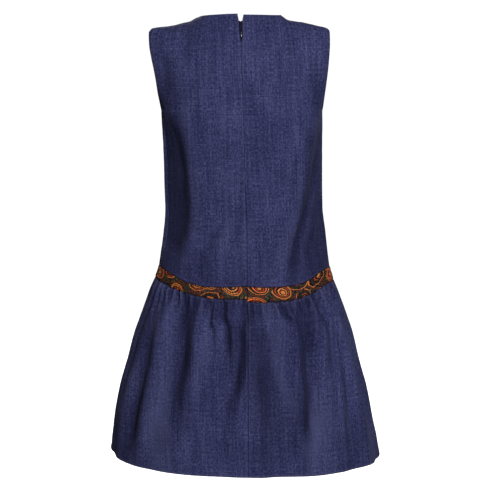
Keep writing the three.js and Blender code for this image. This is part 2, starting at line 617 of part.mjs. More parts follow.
// An outline drawn in the plane of the cloth (across, up), given a thickness outwards.
function plate(outline, from, to, holes = []) {
  const shape = new THREE.Shape(outline.map(([a, b]) => new THREE.Vector2(a, b)));
  for (const h of holes) shape.holes.push(new THREE.Path(h.map(([a, b]) => new THREE.Vector2(a, b))));
  const g = new THREE.ExtrudeGeometry(shape, { depth: to - from, bevelEnabled: false });
  g.rotateX(Math.PI / 2);                       // plane (x, y) -> (x, z), thickness -> -y
  g.translate(0, to, 0);
  return g;
}
// A profile drawn in the fore-and-aft plane (out, up), given a width across.
function rib(profile, halfWidth) {
  const shape = new THREE.Shape(profile.map(([out, up]) => new THREE.Vector2(out, up)));
  const g = new THREE.ExtrudeGeometry(shape, { depth: halfWidth * 2, bevelEnabled: false });
  // (x, y, z) -> (z - halfWidth, x, y)
  g.applyMatrix4(new THREE.Matrix4().set(0, 0, 1, -halfWidth, 1, 0, 0, 0, 0, 1, 0, 0, 0, 0, 0, 1));
  return g;
}

function sliderGeometry() {
  const s = SLIDER;
  const body = plate([
    [-s.wideLow / 2 + 0.6, -s.long / 2], [s.wideLow / 2 - 0.6, -s.long / 2], [s.wideLow / 2, -s.long / 2 + 0.8],
    [s.wideTop / 2, s.long / 2 - 2.2], [s.wideTop / 2 - 0.9, s.long / 2], [-s.wideTop / 2 + 0.9, s.long / 2],
    [-s.wideTop / 2, s.long / 2 - 2.2], [-s.wideLow / 2, -s.long / 2 + 0.8],
  ], s.proud - s.thick, s.proud);
  const b = BRIDGE;
  const low = s.proud - 0.4;
  const arch = rib([
    [low, -b.reach], [b.high - 0.8, -b.reach], [b.high, -b.reach + 0.9], [b.high, b.reach - 0.9],
    [b.high - 0.8, b.reach], [low, b.reach], [low, b.inner], [b.under - 0.3, b.inner], [b.under, b.inner - 0.3],
    [b.under, -b.inner + 0.3], [b.under - 0.3, -b.inner], [low, -b.inner],
  ], b.wide / 2);
  return fromSolid(toSolid(body).add(toSolid(arch)));
}

function tabGeometry() {
  const t = TAB;
  const outline = [[-t.shoulder, t.barHalf - 0.3], [-t.shoulder + 0.4, t.barHalf], [t.shoulder - 0.4, t.barHalf], [t.shoulder, t.barHalf - 0.3],
    [t.shoulder, t.eyeLow + 0.4]];
  const steps = 7;
  for (let i = 1; i <= steps; i += 1) {           // right flank into the round lower end
    const a = (i / (steps + 1)) * (Math.PI / 2) * 1.0;
    outline.push([t.shoulder + (t.half - t.shoulder) * Math.sin(a), mix(t.eyeLow + 0.4, t.belly, i / (steps + 1))]);
  }
  const arc = 10;
  for (let i = 0; i <= arc; i += 1) {
    const a = (i / arc) * Math.PI;
    outline.push([t.half * Math.cos(a), t.belly + (t.low - t.belly) * Math.sin(a)]);
  }
  for (let i = steps; i >= 1; i -= 1) {
    const a = (i / (steps + 1)) * (Math.PI / 2);
    outline.push([-(t.shoulder + (t.half - t.shoulder) * Math.sin(a)), mix(t.eyeLow + 0.4, t.belly, i / (steps + 1))]);
  }
  outline.push([-t.shoulder, t.eyeLow + 0.4]);
  const eye = [[-t.eyeHalf, -t.barHalf], [-t.eyeHalf, t.eyeLow + 0.5], [-t.eyeHalf + 0.5, t.eyeLow],
    [t.eyeHalf - 0.5, t.eyeLow], [t.eyeHalf, t.eyeLow + 0.5], [t.eyeHalf, -t.barHalf]];
  const g = plate(outline.reverse(), -t.thick / 2, t.thick / 2, [eye]);
  return fromSolid(toSolid(g));
}

// ---------------------------------------------------------------- assembly
const dress = new THREE.Group();
const backLeft = bodiceBack(1);
const backRight = bodiceBack(-1);
dress.add(bodiceFront(), backLeft.panel, backRight.panel);
dress.add(bandPiece('band_front', 'front', 0), bandPiece('band_back_left', 'back', 1), bandPiece('band_back_right', 'back', -1));
dress.add(skirtPiece('skirt_front', 'front', 0), skirtPiece('skirt_back_left', 'back', 1), skirtPiece('skirt_back_right', 'back', -1));
dress.add(backLeft.tape, backRight.tape);

// The slider sits on the back seam, in the slope of the cloth.
const seamLine = backLeft.base.map((line, i) => ({ z: line[0].z, y: line[0].y, i })).filter((r) => r.z > -150);
const yAt = (z) => {
  for (let k = 0; k < seamLine.length - 1; k += 1) {
    const a = seamLine[k];
    const b = seamLine[k + 1];
    if (z >= a.z && z <= b.z) return mix(a.y, b.y, (z - a.z) / (b.z - a.z));
  }
  return seamLine[seamLine.length - 1].y;
};
const lean = Math.atan2(yAt(HINGE_Z - 6) - yAt(HINGE_Z + 5), 11);   // cloth comes out as it goes down
const zipFrame = new THREE.Group();
zipFrame.position.set(backSeamX(HINGE_Z) + SLIDER.x, yAt(HINGE_Z), HINGE_Z);
zipFrame.rotation.x = lean;
const metal = () => new THREE.MeshStandardMaterial({ color: ZIP_BLACK, roughness: 0.35, metalness: 0.4 });
const slider = new THREE.Mesh(sliderGeometry(), metal());
slider.name = 'zip_slider';
const tab = new THREE.Mesh(tabGeometry(), metal());
tab.name = 'zip_pull_tab';
tab.position.set(0, TAB.pivotUp, 0);
zipFrame.add(slider, tab);
dress.add(zipFrame);

export default dress;
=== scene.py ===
import math

import bmesh
import bpy
import numpy as np
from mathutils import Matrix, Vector


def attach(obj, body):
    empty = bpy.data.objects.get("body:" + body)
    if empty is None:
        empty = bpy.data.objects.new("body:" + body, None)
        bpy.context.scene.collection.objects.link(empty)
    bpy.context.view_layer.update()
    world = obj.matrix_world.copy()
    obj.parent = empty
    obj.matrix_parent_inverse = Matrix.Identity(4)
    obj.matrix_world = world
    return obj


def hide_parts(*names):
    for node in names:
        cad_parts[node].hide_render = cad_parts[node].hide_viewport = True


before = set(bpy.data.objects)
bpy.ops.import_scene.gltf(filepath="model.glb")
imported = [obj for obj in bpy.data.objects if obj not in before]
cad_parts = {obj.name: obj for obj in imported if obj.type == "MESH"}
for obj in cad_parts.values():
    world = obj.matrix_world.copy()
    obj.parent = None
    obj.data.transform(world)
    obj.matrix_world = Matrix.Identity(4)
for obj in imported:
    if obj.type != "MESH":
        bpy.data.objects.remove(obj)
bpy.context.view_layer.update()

MM = 0.001

# ---------------------------------------------------------------- sizes in mm, as in the construction
SEAM_GAP = 0.3       # clearance of the construction at every seam
GAP = -0.2           # the cloth itself meets there, closed by its seam allowance
Z_UNDERARM = -180.0
Z_HEM = -848.5
HEM_TILT = 9.0
NECK_HALF = 77.0
NECK_BACK = 58.0
NECK_FRONT = 84.0
NECK_POWER = 2.2
NECK_BACK_Z = -2.0
NECK_FRONT_Z = -76.0
TIP_Z = -31.0
CB_TOP_X = -1.5
NECK_SHARE = 0.40
ROLL = {"back": (2.2, 2.2), "front": (1.7, 1.6)}


def table(names, rows):
    return {n: np.array([r[i] for r in rows], float) for i, n in enumerate(names.split())}


RINGS = table("z lean half back front power", [
    (-180, -3.9, 154.0, 112, 114, 2.80), (-235, -5.2, 153.2, 112, 120, 2.50),
    (-282, -6.1, 152.7, 108, 117, 2.36), (-360, -7.3, 152.4, 101, 106, 2.30),
    (-410, -9.0, 156.8, 104, 104, 2.28), (-457, -8.2, 163.2, 113, 108, 2.25),
    (-489, -8.0, 168.5, 121, 114, 2.22), (-514, -7.2, 178.2, 127, 120, 2.22),
    (-540, -8.2, 187.0, 135, 129, 2.20), (-563, -7.8, 195.8, 145, 137, 2.20),
    (-609, -7.0, 212.0, 158, 149, 2.20), (-656, -6.2, 224.2, 168, 159, 2.20),
    (-703, -5.7, 238.8, 176, 168, 2.20), (-750, -5.5, 249.8, 182, 176, 2.20),
    (-797, -7.1, 258.2, 187, 182, 2.20), (-853, -9.4, 267.0, 192, 188, 2.20)])
ARMHOLE = table("z left right share power", [
    (-180, 150.1, 157.9, 0.00, 2.80), (-176, 150.3, 158.2, 0.20, 2.68),
    (-165, 151.4, 158.8, 0.36, 2.50), (-148, 154.2, 160.4, 0.46, 2.38),
    (-125, 157.3, 163.2, 0.52, 2.32), (-100, 162.0, 166.4, 0.54, 2.30),
    (-80, 166.5, 168.4, 0.54, 2.30), (-57, 171.0, 170.4, 0.53, 2.30),
    (-31, 173.5, 171.2, 0.52, 2.30)])
SHOULDER = table("out left right", [
    (77, -1.6, 1.4), (84, -4.4, -3.2), (90, -8.2, -7.0), (95, -11.0, -8.6), (104, -13.1, -9.9),
    (117, -15.6, -12.3), (130, -18.2, -14.6), (143, -20.2, -17.4), (158, -22.0, -20.6), (167, -23.6, -23.6),
    (174, -31.0, -33.0)])
BAND_BACK = table("at topL topR bottomL bottomR", [
    (0.00, -501.0, -502.0, -525.0, -529.5), (0.13, -503.4, -504.0, -525.3, -531.2),
    (0.30, -503.8, -503.4, -523.8, -530.3), (0.40, -500.8, -502.2, -519.6, -527.0),
    (0.50, -496.3, -497.6, -515.3, -521.5), (0.59, -490.0, -491.0, -510.2, -515.5),
    (0.70, -482.6, -482.4, -505.3, -508.2), (0.85, -477.5, -479.6, -501.5, -506.5),
    (1.00, -477.0, -479.5, -501.0, -506.5)])
BAND_FRONT = table("at topL topR bottomL bottomR", [
    (0.00, -490.0, -490.0, -516.0, -516.0), (0.40, -488.0, -488.5, -514.0, -514.5),
    (0.75, -481.0, -482.5, -506.0, -509.0), (1.00, -477.0, -479.5, -501.0, -506.5)])
BACK_SEAM = table("z x", [
    (0, -1.5), (-57, -2.7), (-172, -6.4), (-318, -10.6), (-444, -14.0), (-527, -14.3),
    (-572, -16.0), (-848, -16.2)])
ZIP_PARTING = table("z left right", [
    (0, 5.2, 5.4), (-11, 3.3, 3.4), (-28, 2.6, 3.0), (-42, 1.6, 3.2), (-54, -0.1, -0.1), (-900, -0.1, -0.1)])


# ---------------------------------------------------------------- surfaces
def smooth(t):
    c = np.clip(t, 0.0, 1.0)
    return c * c * (3 - 2 * c)


def curve(tab, key, column):
    order = np.argsort(tab[key])
    k, v = tab[key][order], tab[column][order]
    d = np.diff(v) / np.diff(k)
    s = np.empty_like(v)
    s[0], s[-1] = d[0], d[-1]
    a, b = d[:-1], d[1:]
    total = np.where(np.abs(a + b) < 1e-12, 1.0, a + b)
    s[1:-1] = np.where(a * b <= 0, 0.0, 2 * a * b / total)

    def f(x):
        x = np.clip(np.asarray(x, float), k[0], k[-1])
        i = np.clip(np.searchsorted(k, x, side="right") - 1, 0, len(k) - 2)
        h = k[i + 1] - k[i]
        t = (x - k[i]) / h
        return (v[i] * (2 * t ** 3 - 3 * t ** 2 + 1) + s[i] * h * (t ** 3 - 2 * t ** 2 + t)
                + v[i + 1] * (-2 * t ** 3 + 3 * t ** 2) + s[i + 1] * h * (t ** 3 - t ** 2))
    return f


ring = {c: curve(RINGS, "z", c) for c in ("lean", "half", "back", "front", "power")}
arm = {c: curve(ARMHOLE, "z", c) for c in ("left", "right", "share", "power")}
shoulder = {c: curve(SHOULDER, "out", c) for c in ("left", "right")}
seam_x = curve(BACK_SEAM, "z", "x")
parting = {c: curve(ZIP_PARTING, "z", c) for c in ("left", "right")}
band_edge = {("back", c): curve(BAND_BACK, "at", c) for c in ("topL", "topR", "bottomL", "bottomR")}
band_edge.update({("front", c): curve(BAND_FRONT, "at", c) for c in ("topL", "topR", "bottomL", "bottomR")})

_a = np.linspace(0, math.pi / 2, 401)
_x = np.sin(_a) ** (2 / 2.2)
_y = 0.72 * np.maximum(np.cos(_a), 0) ** (2 / 2.2)
_len = np.concatenate([[0], np.cumsum(np.hypot(np.diff(_x), np.diff(_y)))])


def phi(share):
    return np.interp(np.clip(share, 0, 1) * _len[-1], _len, _a)


def unit_ring(rnd, power):
    side = np.where(rnd < 0, -1.0, 1.0)
    r = np.abs(rnd)
    front = r > 1
    a = phi(np.where(front, 2 - r, r))
    return (side * np.sin(a) ** (2 / power),
            np.where(front, -1.0, 1.0) * np.maximum(np.cos(a), 0) ** (2 / power))


def ring_point(rnd, z):
    ux, uy = unit_ring(rnd, ring["power"](z))
    depth = np.where(uy >= 0, ring["back"](z), ring["front"](z))
    return np.stack([ring["lean"](z) + ring["half"](z) * ux, depth * uy, z + 0 * ux], -1)


# The flat of the back ends at a soft edge on each side, and the cloth falls straight
# from there to the side seam. z, how far out the edge lies, how much of it there is.
FLANK = table("z left right much_left much_right", [
    (-900, 0.92, 0.70, 0.00, 0.00), (-501, 0.90, 0.52, 0.30, 0.45), (-470, 0.78, 0.53, 0.70, 0.60), (-440, 0.70, 0.56, 0.88, 0.66),
    (-375, 0.66, 0.68, 0.95, 0.70), (-290, 0.68, 0.80, 0.92, 0.66), (-262, 0.71, 0.82, 0.84, 0.60), (-230, 0.74, 0.84, 0.58, 0.42),
    (-200, 0.78, 0.86, 0.16, 0.12), (-180, 0.80, 0.86, 0.00, 0.00)])


def fall_flanks(P, sd, rnd, z, above):
    """Draw the back in towards the line from the edge of its flat to the side seam."""
    out = P.copy()
    ux, uy = unit_ring(rnd, ring["power"](z))
    a = np.abs(ux)
    left = sd > 0
    at = np.where(left, flank["left"](z), flank["right"](z))
    much = np.where(left, flank["much_left"](z), flank["much_right"](z))
    edge_y = np.maximum(1 - at ** ring["power"](z), 0) ** (1 / ring["power"](z))
    line = edge_y * np.clip(1 - a, 0, 1) / (1 - at)
    gap = line - uy
    soft = 0.5 * (gap - np.sqrt(gap * gap + 0.05 ** 2)) * smooth((a - at + 0.16) / 0.16) * smooth((1 - a) / 0.05)
    much = much * smooth(above / 55.0)
    out[..., 1] += np.where(P[..., 1] > 0, soft * much * ring["back"](z), 0)
    return out


_zs = np.linspace(-900, 10, 456)
flank = {c: curve(FLANK, "z", c) for c in ("left", "right", "much_left", "much_right")}
_want = (seam_x(_zs) - ring["lean"](_zs)) / ring["half"](_zs)
_lo, _hi = np.zeros_like(_zs), np.full_like(_zs, 0.5)
for _ in range(40):
    _m = (_lo + _hi) / 2
    _less = unit_ring(_m, ring["power"](_zs))[0] < np.abs(_want)
    _lo, _hi = np.where(_less, _m, _lo), np.where(_less, _hi, _m)
_seam_round = np.sign(_want) * _lo


def seam_round(z):
    return np.interp(z, _zs, _seam_round)


def round_of(face, sd, sh, z):
    if face == "back":
        cb = seam_round(z)
        return cb + (sd - cb) * sh
    return sd * (2 - sh)


def quarter(z):
    a, b = ring["half"](z), ring["back"](z)
    return (math.pi / 2) * np.sqrt((a * a + b * b) / 2) * 1.03


def band_z(face, sd, edge, sh):
    if edge == "bottom":
        k = 0.0 if face == "back" else 2.0
        pull = 0.55 * np.sin(sh * 88 + sd + k) + 0.45 * np.sin(sh * 57 + 2 * sd + k) + 0.25 * np.sin(sh * 141 + k)
        pull = pull * smooth(sh * 22) * smooth((1 - sh) * 22)
    else:
        pull = 0.0
    return pull + np.where(sd > 0, band_edge[(face, edge + "L")](sh), band_edge[(face, edge + "R")](sh))


def lean_above(z):
    return ring["lean"](Z_UNDERARM) * np.clip(z / Z_UNDERARM, 0, 1)


def arm_edge(sd, z):
    zz = np.minimum(z, TIP_Z)
    share, power = arm["share"](zz), arm["power"](zz)
    across = (1 - share ** power) ** (1 / power)
    lean = lean_above(zz)
    out = np.where(sd > 0, arm["left"](zz) - lean, arm["right"](zz) + lean)
    return across, out / across


def top_edge(face, sd, sh):
    back = face == "back"
    a = (math.pi / 2) * np.clip(sh / NECK_SHARE, 0, 1)
    sx = np.sin(a) ** (2 / NECK_POWER)
    cy = np.maximum(np.cos(a), 0) ** (2 / NECK_POWER)
    cy = np.where(cy < 1e-6, 0, cy)
    neck_z = np.where(sd > 0, shoulder["left"](NECK_HALF), shoulder["right"](NECK_HALF))
    nx = (CB_TOP_X if back else 0.0) * (1 - sx) + sd * NECK_HALF * sx
    if back:
        nz = neck_z + (NECK_BACK_Z - neck_z) * smooth(cy * 1.2) + (1.9 + np.where(sd > 0, 2.0, 0.3) * cy ** 7) * smooth(cy * 1.2)
    else:
        nz = neck_z + (NECK_FRONT_Z - neck_z) * cy ** 1.5
    ny = (NECK_BACK if back else NECK_FRONT) * cy
    t = np.clip((sh - NECK_SHARE) / (1 - NECK_SHARE), 0, 1)
    tip = np.where(sd > 0, arm["left"](TIP_Z), arm["right"](TIP_Z))
    out = NECK_HALF + (tip - NECK_HALF) * t
    sz = np.where(sd > 0, shoulder["left"](out), shoulder["right"](out))
    neck = sh <= NECK_SHARE
    return np.where(neck, nx, sd * out), np.where(neck, ny, 0.0), np.where(neck, nz, sz)


def upper(face, sd, sh, up):
    back = face == "back"
    depth = float(ring["back" if back else "front"](Z_UNDERARM))
    tx, ty, tz = top_edge(face, sd, sh)
    z = Z_UNDERARM + (tz - Z_UNDERARM) * up
    power = arm["power"](np.minimum(z, TIP_Z))
    edge = arm_edge(sd, Z_UNDERARM + (TIP_Z - Z_UNDERARM) * up)[0]
    tip = arm_edge(sd, TIP_Z + 0 * sd)[0]
    scale = arm_edge(sd, z)[1]

    def seam_at(zz, sc):
        return sd * (seam_x(zz) - lean_above(zz)) / sc if back else 0 * sd * sc
    low = unit_ring(round_of(face, sd, sh, Z_UNDERARM), ring["power"](Z_UNDERARM))[0] * sd
    low_seam = seam_at(Z_UNDERARM, ring["half"](Z_UNDERARM))
    g0 = (low - low_seam) / (1 - low_seam)
    top_scale = arm_edge(sd, tz)[1]
    top_seam = seam_at(tz, top_scale)
    top_across = sd * (tx - lean_above(tz)) / top_scale
    g1 = (top_across - top_seam) / (tip - top_seam)
    seam = seam_at(z, scale)
    across = np.clip(seam + (edge - seam) * (g0 + (g1 - g0) * up), -1, 1)
    rnd = np.maximum(1 - np.abs(across) ** power, 0) ** (1 / power)
    p, q = ROLL[face]
    top_power = float(arm["power"](TIP_Z))
    top_round = np.maximum(1 - np.abs(top_across) ** top_power, 1e-9) ** (1 / top_power)
    top_t = np.clip(ty / (depth * top_round), 0, 1)
    u_top = (1 - top_t ** q) ** (1 / p)
    fall = np.maximum(1 - (up * u_top) ** p, 0) ** (1 / q)
    y = depth * rnd * fall * (1 if back else -1)
    return np.stack([lean_above(z) + sd * scale * across, y + 0 * z, z + 0 * y], -1)


EDGE_STEPS = [0.0, 0.3, 0.7, 1.3, 2.2, 3.6]


def spaced(count, length, both=True, extra=()):
    """Shares 0..1 of a length in mm, close together beside the edges."""
    near = [e / length for e in EDGE_STEPS]
    start = near[-1] + 1.6 / length
    stop = 1 - start if both else 1 - start
    mid = np.linspace(start, stop, max(count - 2 * len(near), 4))
    out = np.concatenate([near, mid, [1 - e for e in reversed(near)]])
    for x in extra:
        i = int(np.argmin(np.abs(out - x)))
        out[i] = x
    return out


def row_arcs(P):
    d = np.linalg.norm(np.diff(P, axis=1), axis=2)
    return np.concatenate([np.zeros((P.shape[0], 1)), np.cumsum(d, axis=1)], 1)


def column_arcs(P):
    d = np.linalg.norm(np.diff(P, axis=0), axis=2)
    return np.concatenate([np.zeros((1, P.shape[1])), np.cumsum(d, axis=0)], 0)


def grid_normals(P, sign=None):
    dr = np.gradient(P, axis=0)
    dc = np.gradient(P, axis=1)
    N = np.cross(dr, dc)
    ln = np.linalg.norm(N, axis=2, keepdims=True)
    N = N / np.where(ln < 1e-9, 1, ln)
    if sign is None:
        m = P.shape[0] // 3, P.shape[1] // 2
        out = P[m][:2]
        sign = 1.0 if N[m][:2] @ out > 0 else -1.0
    return N * sign, sign


def bodice_grid(face, sd, sh, below, above):
    """Rows from the band up to the neckline; sd and sh give each column's side and share."""
    sd, sh = sd[None, :], sh[None, :]
    z_low = band_z(face, sd, "top", sh) + GAP / 2
    t = below[:, None]
    z = z_low + (Z_UNDERARM - z_low) * t
    rnd = round_of(face, sd, sh, z)
    low = ring_point(rnd, z)
    if face == "back":
        low = fall_flanks(low, sd, rnd, z, z - z_low)
    high = upper(face, sd + 0 * above[:, None], sh + 0 * above[:, None], above[:, None] + 0 * sh)
    P = np.concatenate([low, high], 0)
    sign = 1 if face == "back" else -1
    P[..., 1] = np.where(P[..., 1] * sign < GAP / 2 + 1e-6, sign * GAP / 2, P[..., 1])
    return P


def back_bodice_base(side, n_cols, n_below, n_above):
    sh = spaced(n_cols, 235.0, extra=(NECK_SHARE,))
    sd = np.full_like(sh, float(side))
    below = spaced(n_below, 322.0)[:-6]
    above = np.concatenate([[0, 0.004, 0.01, 0.02, 0.033], np.linspace(0.05, 0.96, n_above), 1 - np.array([4.0, 2.4, 1.3, 0.7, 0.3, 0.0]) / 150])
    P = bodice_grid("back", sd, sh, below, above)
    # open the two edges where the zip shows
    arcs = row_arcs(P)
    part = parting["left" if side > 0 else "right"](P[:, 0, 2])[:, None]
    want = arcs + part * (1 - smooth(arcs / 34.0))
    Q = np.empty_like(P)
    for i in range(P.shape[0]):
        for c in range(3):
            Q[i, :, c] = np.interp(want[i], arcs[i], P[i, :, c])
    way = P[:, 1] - P[:, 0]
    way /= np.linalg.norm(way, axis=1, keepdims=True)
    Q[:, 0] += way * np.minimum(part, 0.0) * (P[:, :1, 2] < Z_UNDERARM * 0.25)
    return Q, want, sh


def front_bodice_base(n_cols, n_below, n_above):
    half = spaced(n_cols, 235.0, extra=(NECK_SHARE,))
    half = np.concatenate([[0.0], half[6:]])
    sh = np.concatenate([half[::-1], half[1:]])
    sd = np.concatenate([-np.ones(len(half)), np.ones(len(half) - 1)])
    below = spaced(n_below, 322.0)[:-6]
    above = np.concatenate([[0, 0.004, 0.01, 0.02, 0.033], np.linspace(0.05, 0.96, n_above), 1 - np.array([4.0, 2.4, 1.3, 0.7, 0.3, 0.0]) / 150])
    return bodice_grid("front", sd, sh, below, above), sd, sh


def level_grid(face, sd, sh, rows, z_of):
    sd, sh, r = sd[None, :], sh[None, :], rows[:, None]
    z = z_of(sd, sh, r)
    trim = (GAP / 2) / quarter(z)
    at = np.where(sh >= 1, 1 - trim, sh + 0 * z)
    if face == "back":
        at = np.where(sh <= 0, trim, at)
    rnd = round_of(face, sd, at, z)
    return ring_point(rnd, z), rnd


def band_level(face):
    def z_of(sd, sh, r):
        top = band_z(face, sd, "top", sh) - GAP / 2
        low = band_z(face, sd, "bottom", sh) + GAP / 2
        return low + (top - low) * r
    return z_of


def skirt_level(face):
    def z_of(sd, sh, r):
        top = band_z(face, sd, "bottom", sh) - GAP / 2
        tilt = unit_ring(round_of(face, sd, sh, -800.0), 2.1)[0]
        return top + (Z_HEM + HEM_TILT * (0.45 * tilt + 0.35 * tilt ** 7) - top) * (1 - r)
    return z_of


def columns_of(face, side, count):
    if face == "back":
        sh = spaced(count, 300.0)
        return np.full_like(sh, float(side)), sh
    half = spaced(count // 2 + 3, 300.0)
    half = np.concatenate([[0.0], half[6:]])
    return (np.concatenate([-np.ones(len(half)), np.ones(len(half) - 1)]),
            np.concatenate([half[::-1], half[1:]]))


# ---------------------------------------------------------------- creases
def line_creases(U, Z, creases):
    """Soft troughs (depth > 0) or ridges (depth < 0) along lines drawn in mm on the cloth.
    Each: points (across, level), depth, half widths on either side, how sharply the ends fade."""
    total = np.zeros_like(U)
    for c in creases:
        pts = np.array(c["path"], float)
        seg = np.linalg.norm(np.diff(pts, axis=0), axis=1)
        start = np.concatenate([[0], np.cumsum(seg)])
        best = np.full_like(U, 1e9)
        along = np.zeros_like(U)
        signed = np.zeros_like(U)
        for i in range(len(seg)):
            ax, az = pts[i]
            dx, dz = (pts[i + 1] - pts[i]) / seg[i]
            t = np.clip((U - ax) * dx + (Z - az) * dz, 0, seg[i])
            px, pz = U - ax - t * dx, Z - az - t * dz
            dist = np.hypot(px, pz)
            closer = dist < best
            best = np.where(closer, dist, best)
            along = np.where(closer, start[i] + t, along)
            signed = np.where(closer, (U - ax) * dz - (Z - az) * dx, signed)
        s = along / start[-1]
        e0, e1 = c.get("ends", (0.3, 0.3))
        fade = smooth(s / e0) * smooth((1 - s) / e1)
        w = np.where(signed > 0, c["wide"][0], c["wide"][1])
        x = best / w
        lip = c.get("lip", 0.3)
        shape = -np.exp(-x * x) + lip * np.exp(-((x - 1.9) / 0.9) ** 2)
        total += c["depth"] * fade * shape
    return total


def crumple(U, Z, seed, low, high, depth, count=26, squeeze=1.0):
    """Slight unevenness: a seeded sum of waves with lengths between low and high mm."""
    rng = np.random.default_rng(seed)
    out = np.zeros_like(U)
    for _ in range(count):
        wave = rng.uniform(low, high)
        ang = rng.uniform(0, math.pi)
        k = 2 * math.pi / wave
        out += np.sin(k * (math.cos(ang) * U + squeeze * math.sin(ang) * Z) + rng.uniform(0, 6.28))
    return out * depth / math.sqrt(count / 2)


# ---------------------------------------------------------------- end of surfaces

# The back, as the daylight side shows it: a flat middle that turns to the sides over
# a soft ridge with a hollow behind it, faint ripples, and drag lines above the band.
BACK_CREASES = [
    dict(path=[(116, -150), (110, -200), (103, -249), (99, -344), (104, -400), (128, -462)], depth=-2.6, wide=(11, 13), ends=(0.22, 0.12), lip=0.0),
    dict(path=[(150, -168), (140, -249), (138, -344), (146, -400), (166, -452)], depth=3.4, wide=(24, 17), ends=(0.25, 0.2), lip=0.0),
    dict(path=[(-157, -168), (-134, -252), (-114, -326), (-97, -373), (-80, -427), (-74, -482)], depth=-2.4, wide=(14, 11), ends=(0.2, 0.15), lip=0.0),
    dict(path=[(-166, -240), (-146, -326), (-124, -373), (-100, -424), (-92, -488)], depth=4.2, wide=(9, 14), ends=(0.25, 0.1), lip=0.2),
    dict(path=[(-148, -392), (-137, -440), (-136, -486)], depth=1.8, wide=(7, 9), ends=(0.4, 0.2)),
    dict(path=[(150, -60), (144, -110), (150, -162)], depth=2.4, wide=(14, 12), ends=(0.35, 0.35), lip=0.2),
    dict(path=[(-146, -66), (-142, -116), (-150, -160)], depth=1.6, wide=(13, 12), ends=(0.35, 0.35), lip=0.2),
    dict(path=[(84, -62), (86, -140), (88, -236)], depth=0.9, wide=(7, 9), ends=(0.35, 0.35)),
    dict(path=[(62, -20), (58, -80), (60, -130)], depth=0.6, wide=(7, 7), ends=(0.35, 0.35)),
    dict(path=[(20, -60), (24, -140), (27, -244)], depth=0.8, wide=(6, 8), ends=(0.35, 0.35)),
    dict(path=[(-38, -30), (-36, -92), (-42, -180)], depth=0.6, wide=(6, 9), ends=(0.35, 0.35)),
    dict(path=[(-70, -22), (-74, -110), (-80, -190)], depth=0.7, wide=(9, 8), ends=(0.35, 0.35)),
    dict(path=[(9, -214), (-2, -224), (-18, -231)], depth=0.9, wide=(2.6, 4), ends=(0.4, 0.4)),
    dict(path=[(16, -38), (26, -30), (33, -19)], depth=0.7, wide=(3, 3), ends=(0.4, 0.4)),
    dict(path=[(9, -56), (20, -50), (30, -46)], depth=0.5, wide=(3, 3), ends=(0.4, 0.4)),
    dict(path=[(-10, -52), (-20, -46), (-27, -36)], depth=0.7, wide=(2.6, 3), ends=(0.4, 0.4)),
    dict(path=[(-12, -66), (-24, -62), (-36, -52)], depth=0.6, wide=(3, 3), ends=(0.4, 0.4)),
    dict(path=[(-9, -30), (-14, -22)], depth=0.5, wide=(3, 3), ends=(0.4, 0.4)),
    dict(path=[(10, -312), (2, -318), (-9, -321)], depth=1.1, wide=(3, 3), ends=(0.4, 0.4)),
    dict(path=[(16, -324), (4, -328), (-14, -327)], depth=0.6, wide=(3, 3), ends=(0.4, 0.4)),
    dict(path=[(20, -345), (-34, -341), (-104, -330)], depth=0.6, wide=(4, 5), ends=(0.3, 0.4)),
    dict(path=[(72, -300), (30, -309), (-4, -312)], depth=0.4, wide=(5, 6), ends=(0.4, 0.3)),
    dict(path=[(24, -360), (36, -405), (58, -462)], depth=-1.9, wide=(7, 8), ends=(0.35, 0.35), lip=0.0),
    dict(path=[(46, -382), (58, -410), (76, -446)], depth=1.6, wide=(6, 7), ends=(0.3, 0.4)),
    dict(path=[(10, -384), (18, -410), (24, -438)], depth=1.3, wide=(5, 6), ends=(0.35, 0.4)),
    dict(path=[(84, -424), (90, -456), (93, -494)], depth=1.9, wide=(6, 6), ends=(0.45, 0.15)),
    dict(path=[(128, -462), (124, -490)], depth=1.2, wide=(5, 5), ends=(0.5, 0.3)),
    dict(path=[(-22, -432), (-26, -460), (-28, -490)], depth=1.1, wide=(5, 6), ends=(0.4, 0.3)),
    dict(path=[(-52, -420), (-50, -460), (-54, -494)], depth=1.0, wide=(6, 7), ends=(0.4, 0.2)),
    dict(path=[(3, -462), (6, -480), (5, -497)], depth=0.9, wide=(4, 4), ends=(0.5, 0.2)),
    dict(path=[(38, -470), (42, -486), (41, -498)], depth=0.8, wide=(4, 4), ends=(0.5, 0.2)),
    dict(path=[(96, -479), (116, -474), (138, -468)], depth=0.55, wide=(1.6, 2.2), ends=(0.4, 0.4)),
    dict(path=[(98, -485), (120, -481), (134, -475)], depth=0.45, wide=(1.6, 2.0), ends=(0.4, 0.4)),
    dict(path=[(-30, -482), (-52, -483), (-72, -480)], depth=0.5, wide=(1.8, 2.2), ends=(0.4, 0.4)),
    dict(path=[(-44, -468), (-62, -470), (-84, -466)], depth=0.4, wide=(1.8, 2.2), ends=(0.4, 0.4)),
]
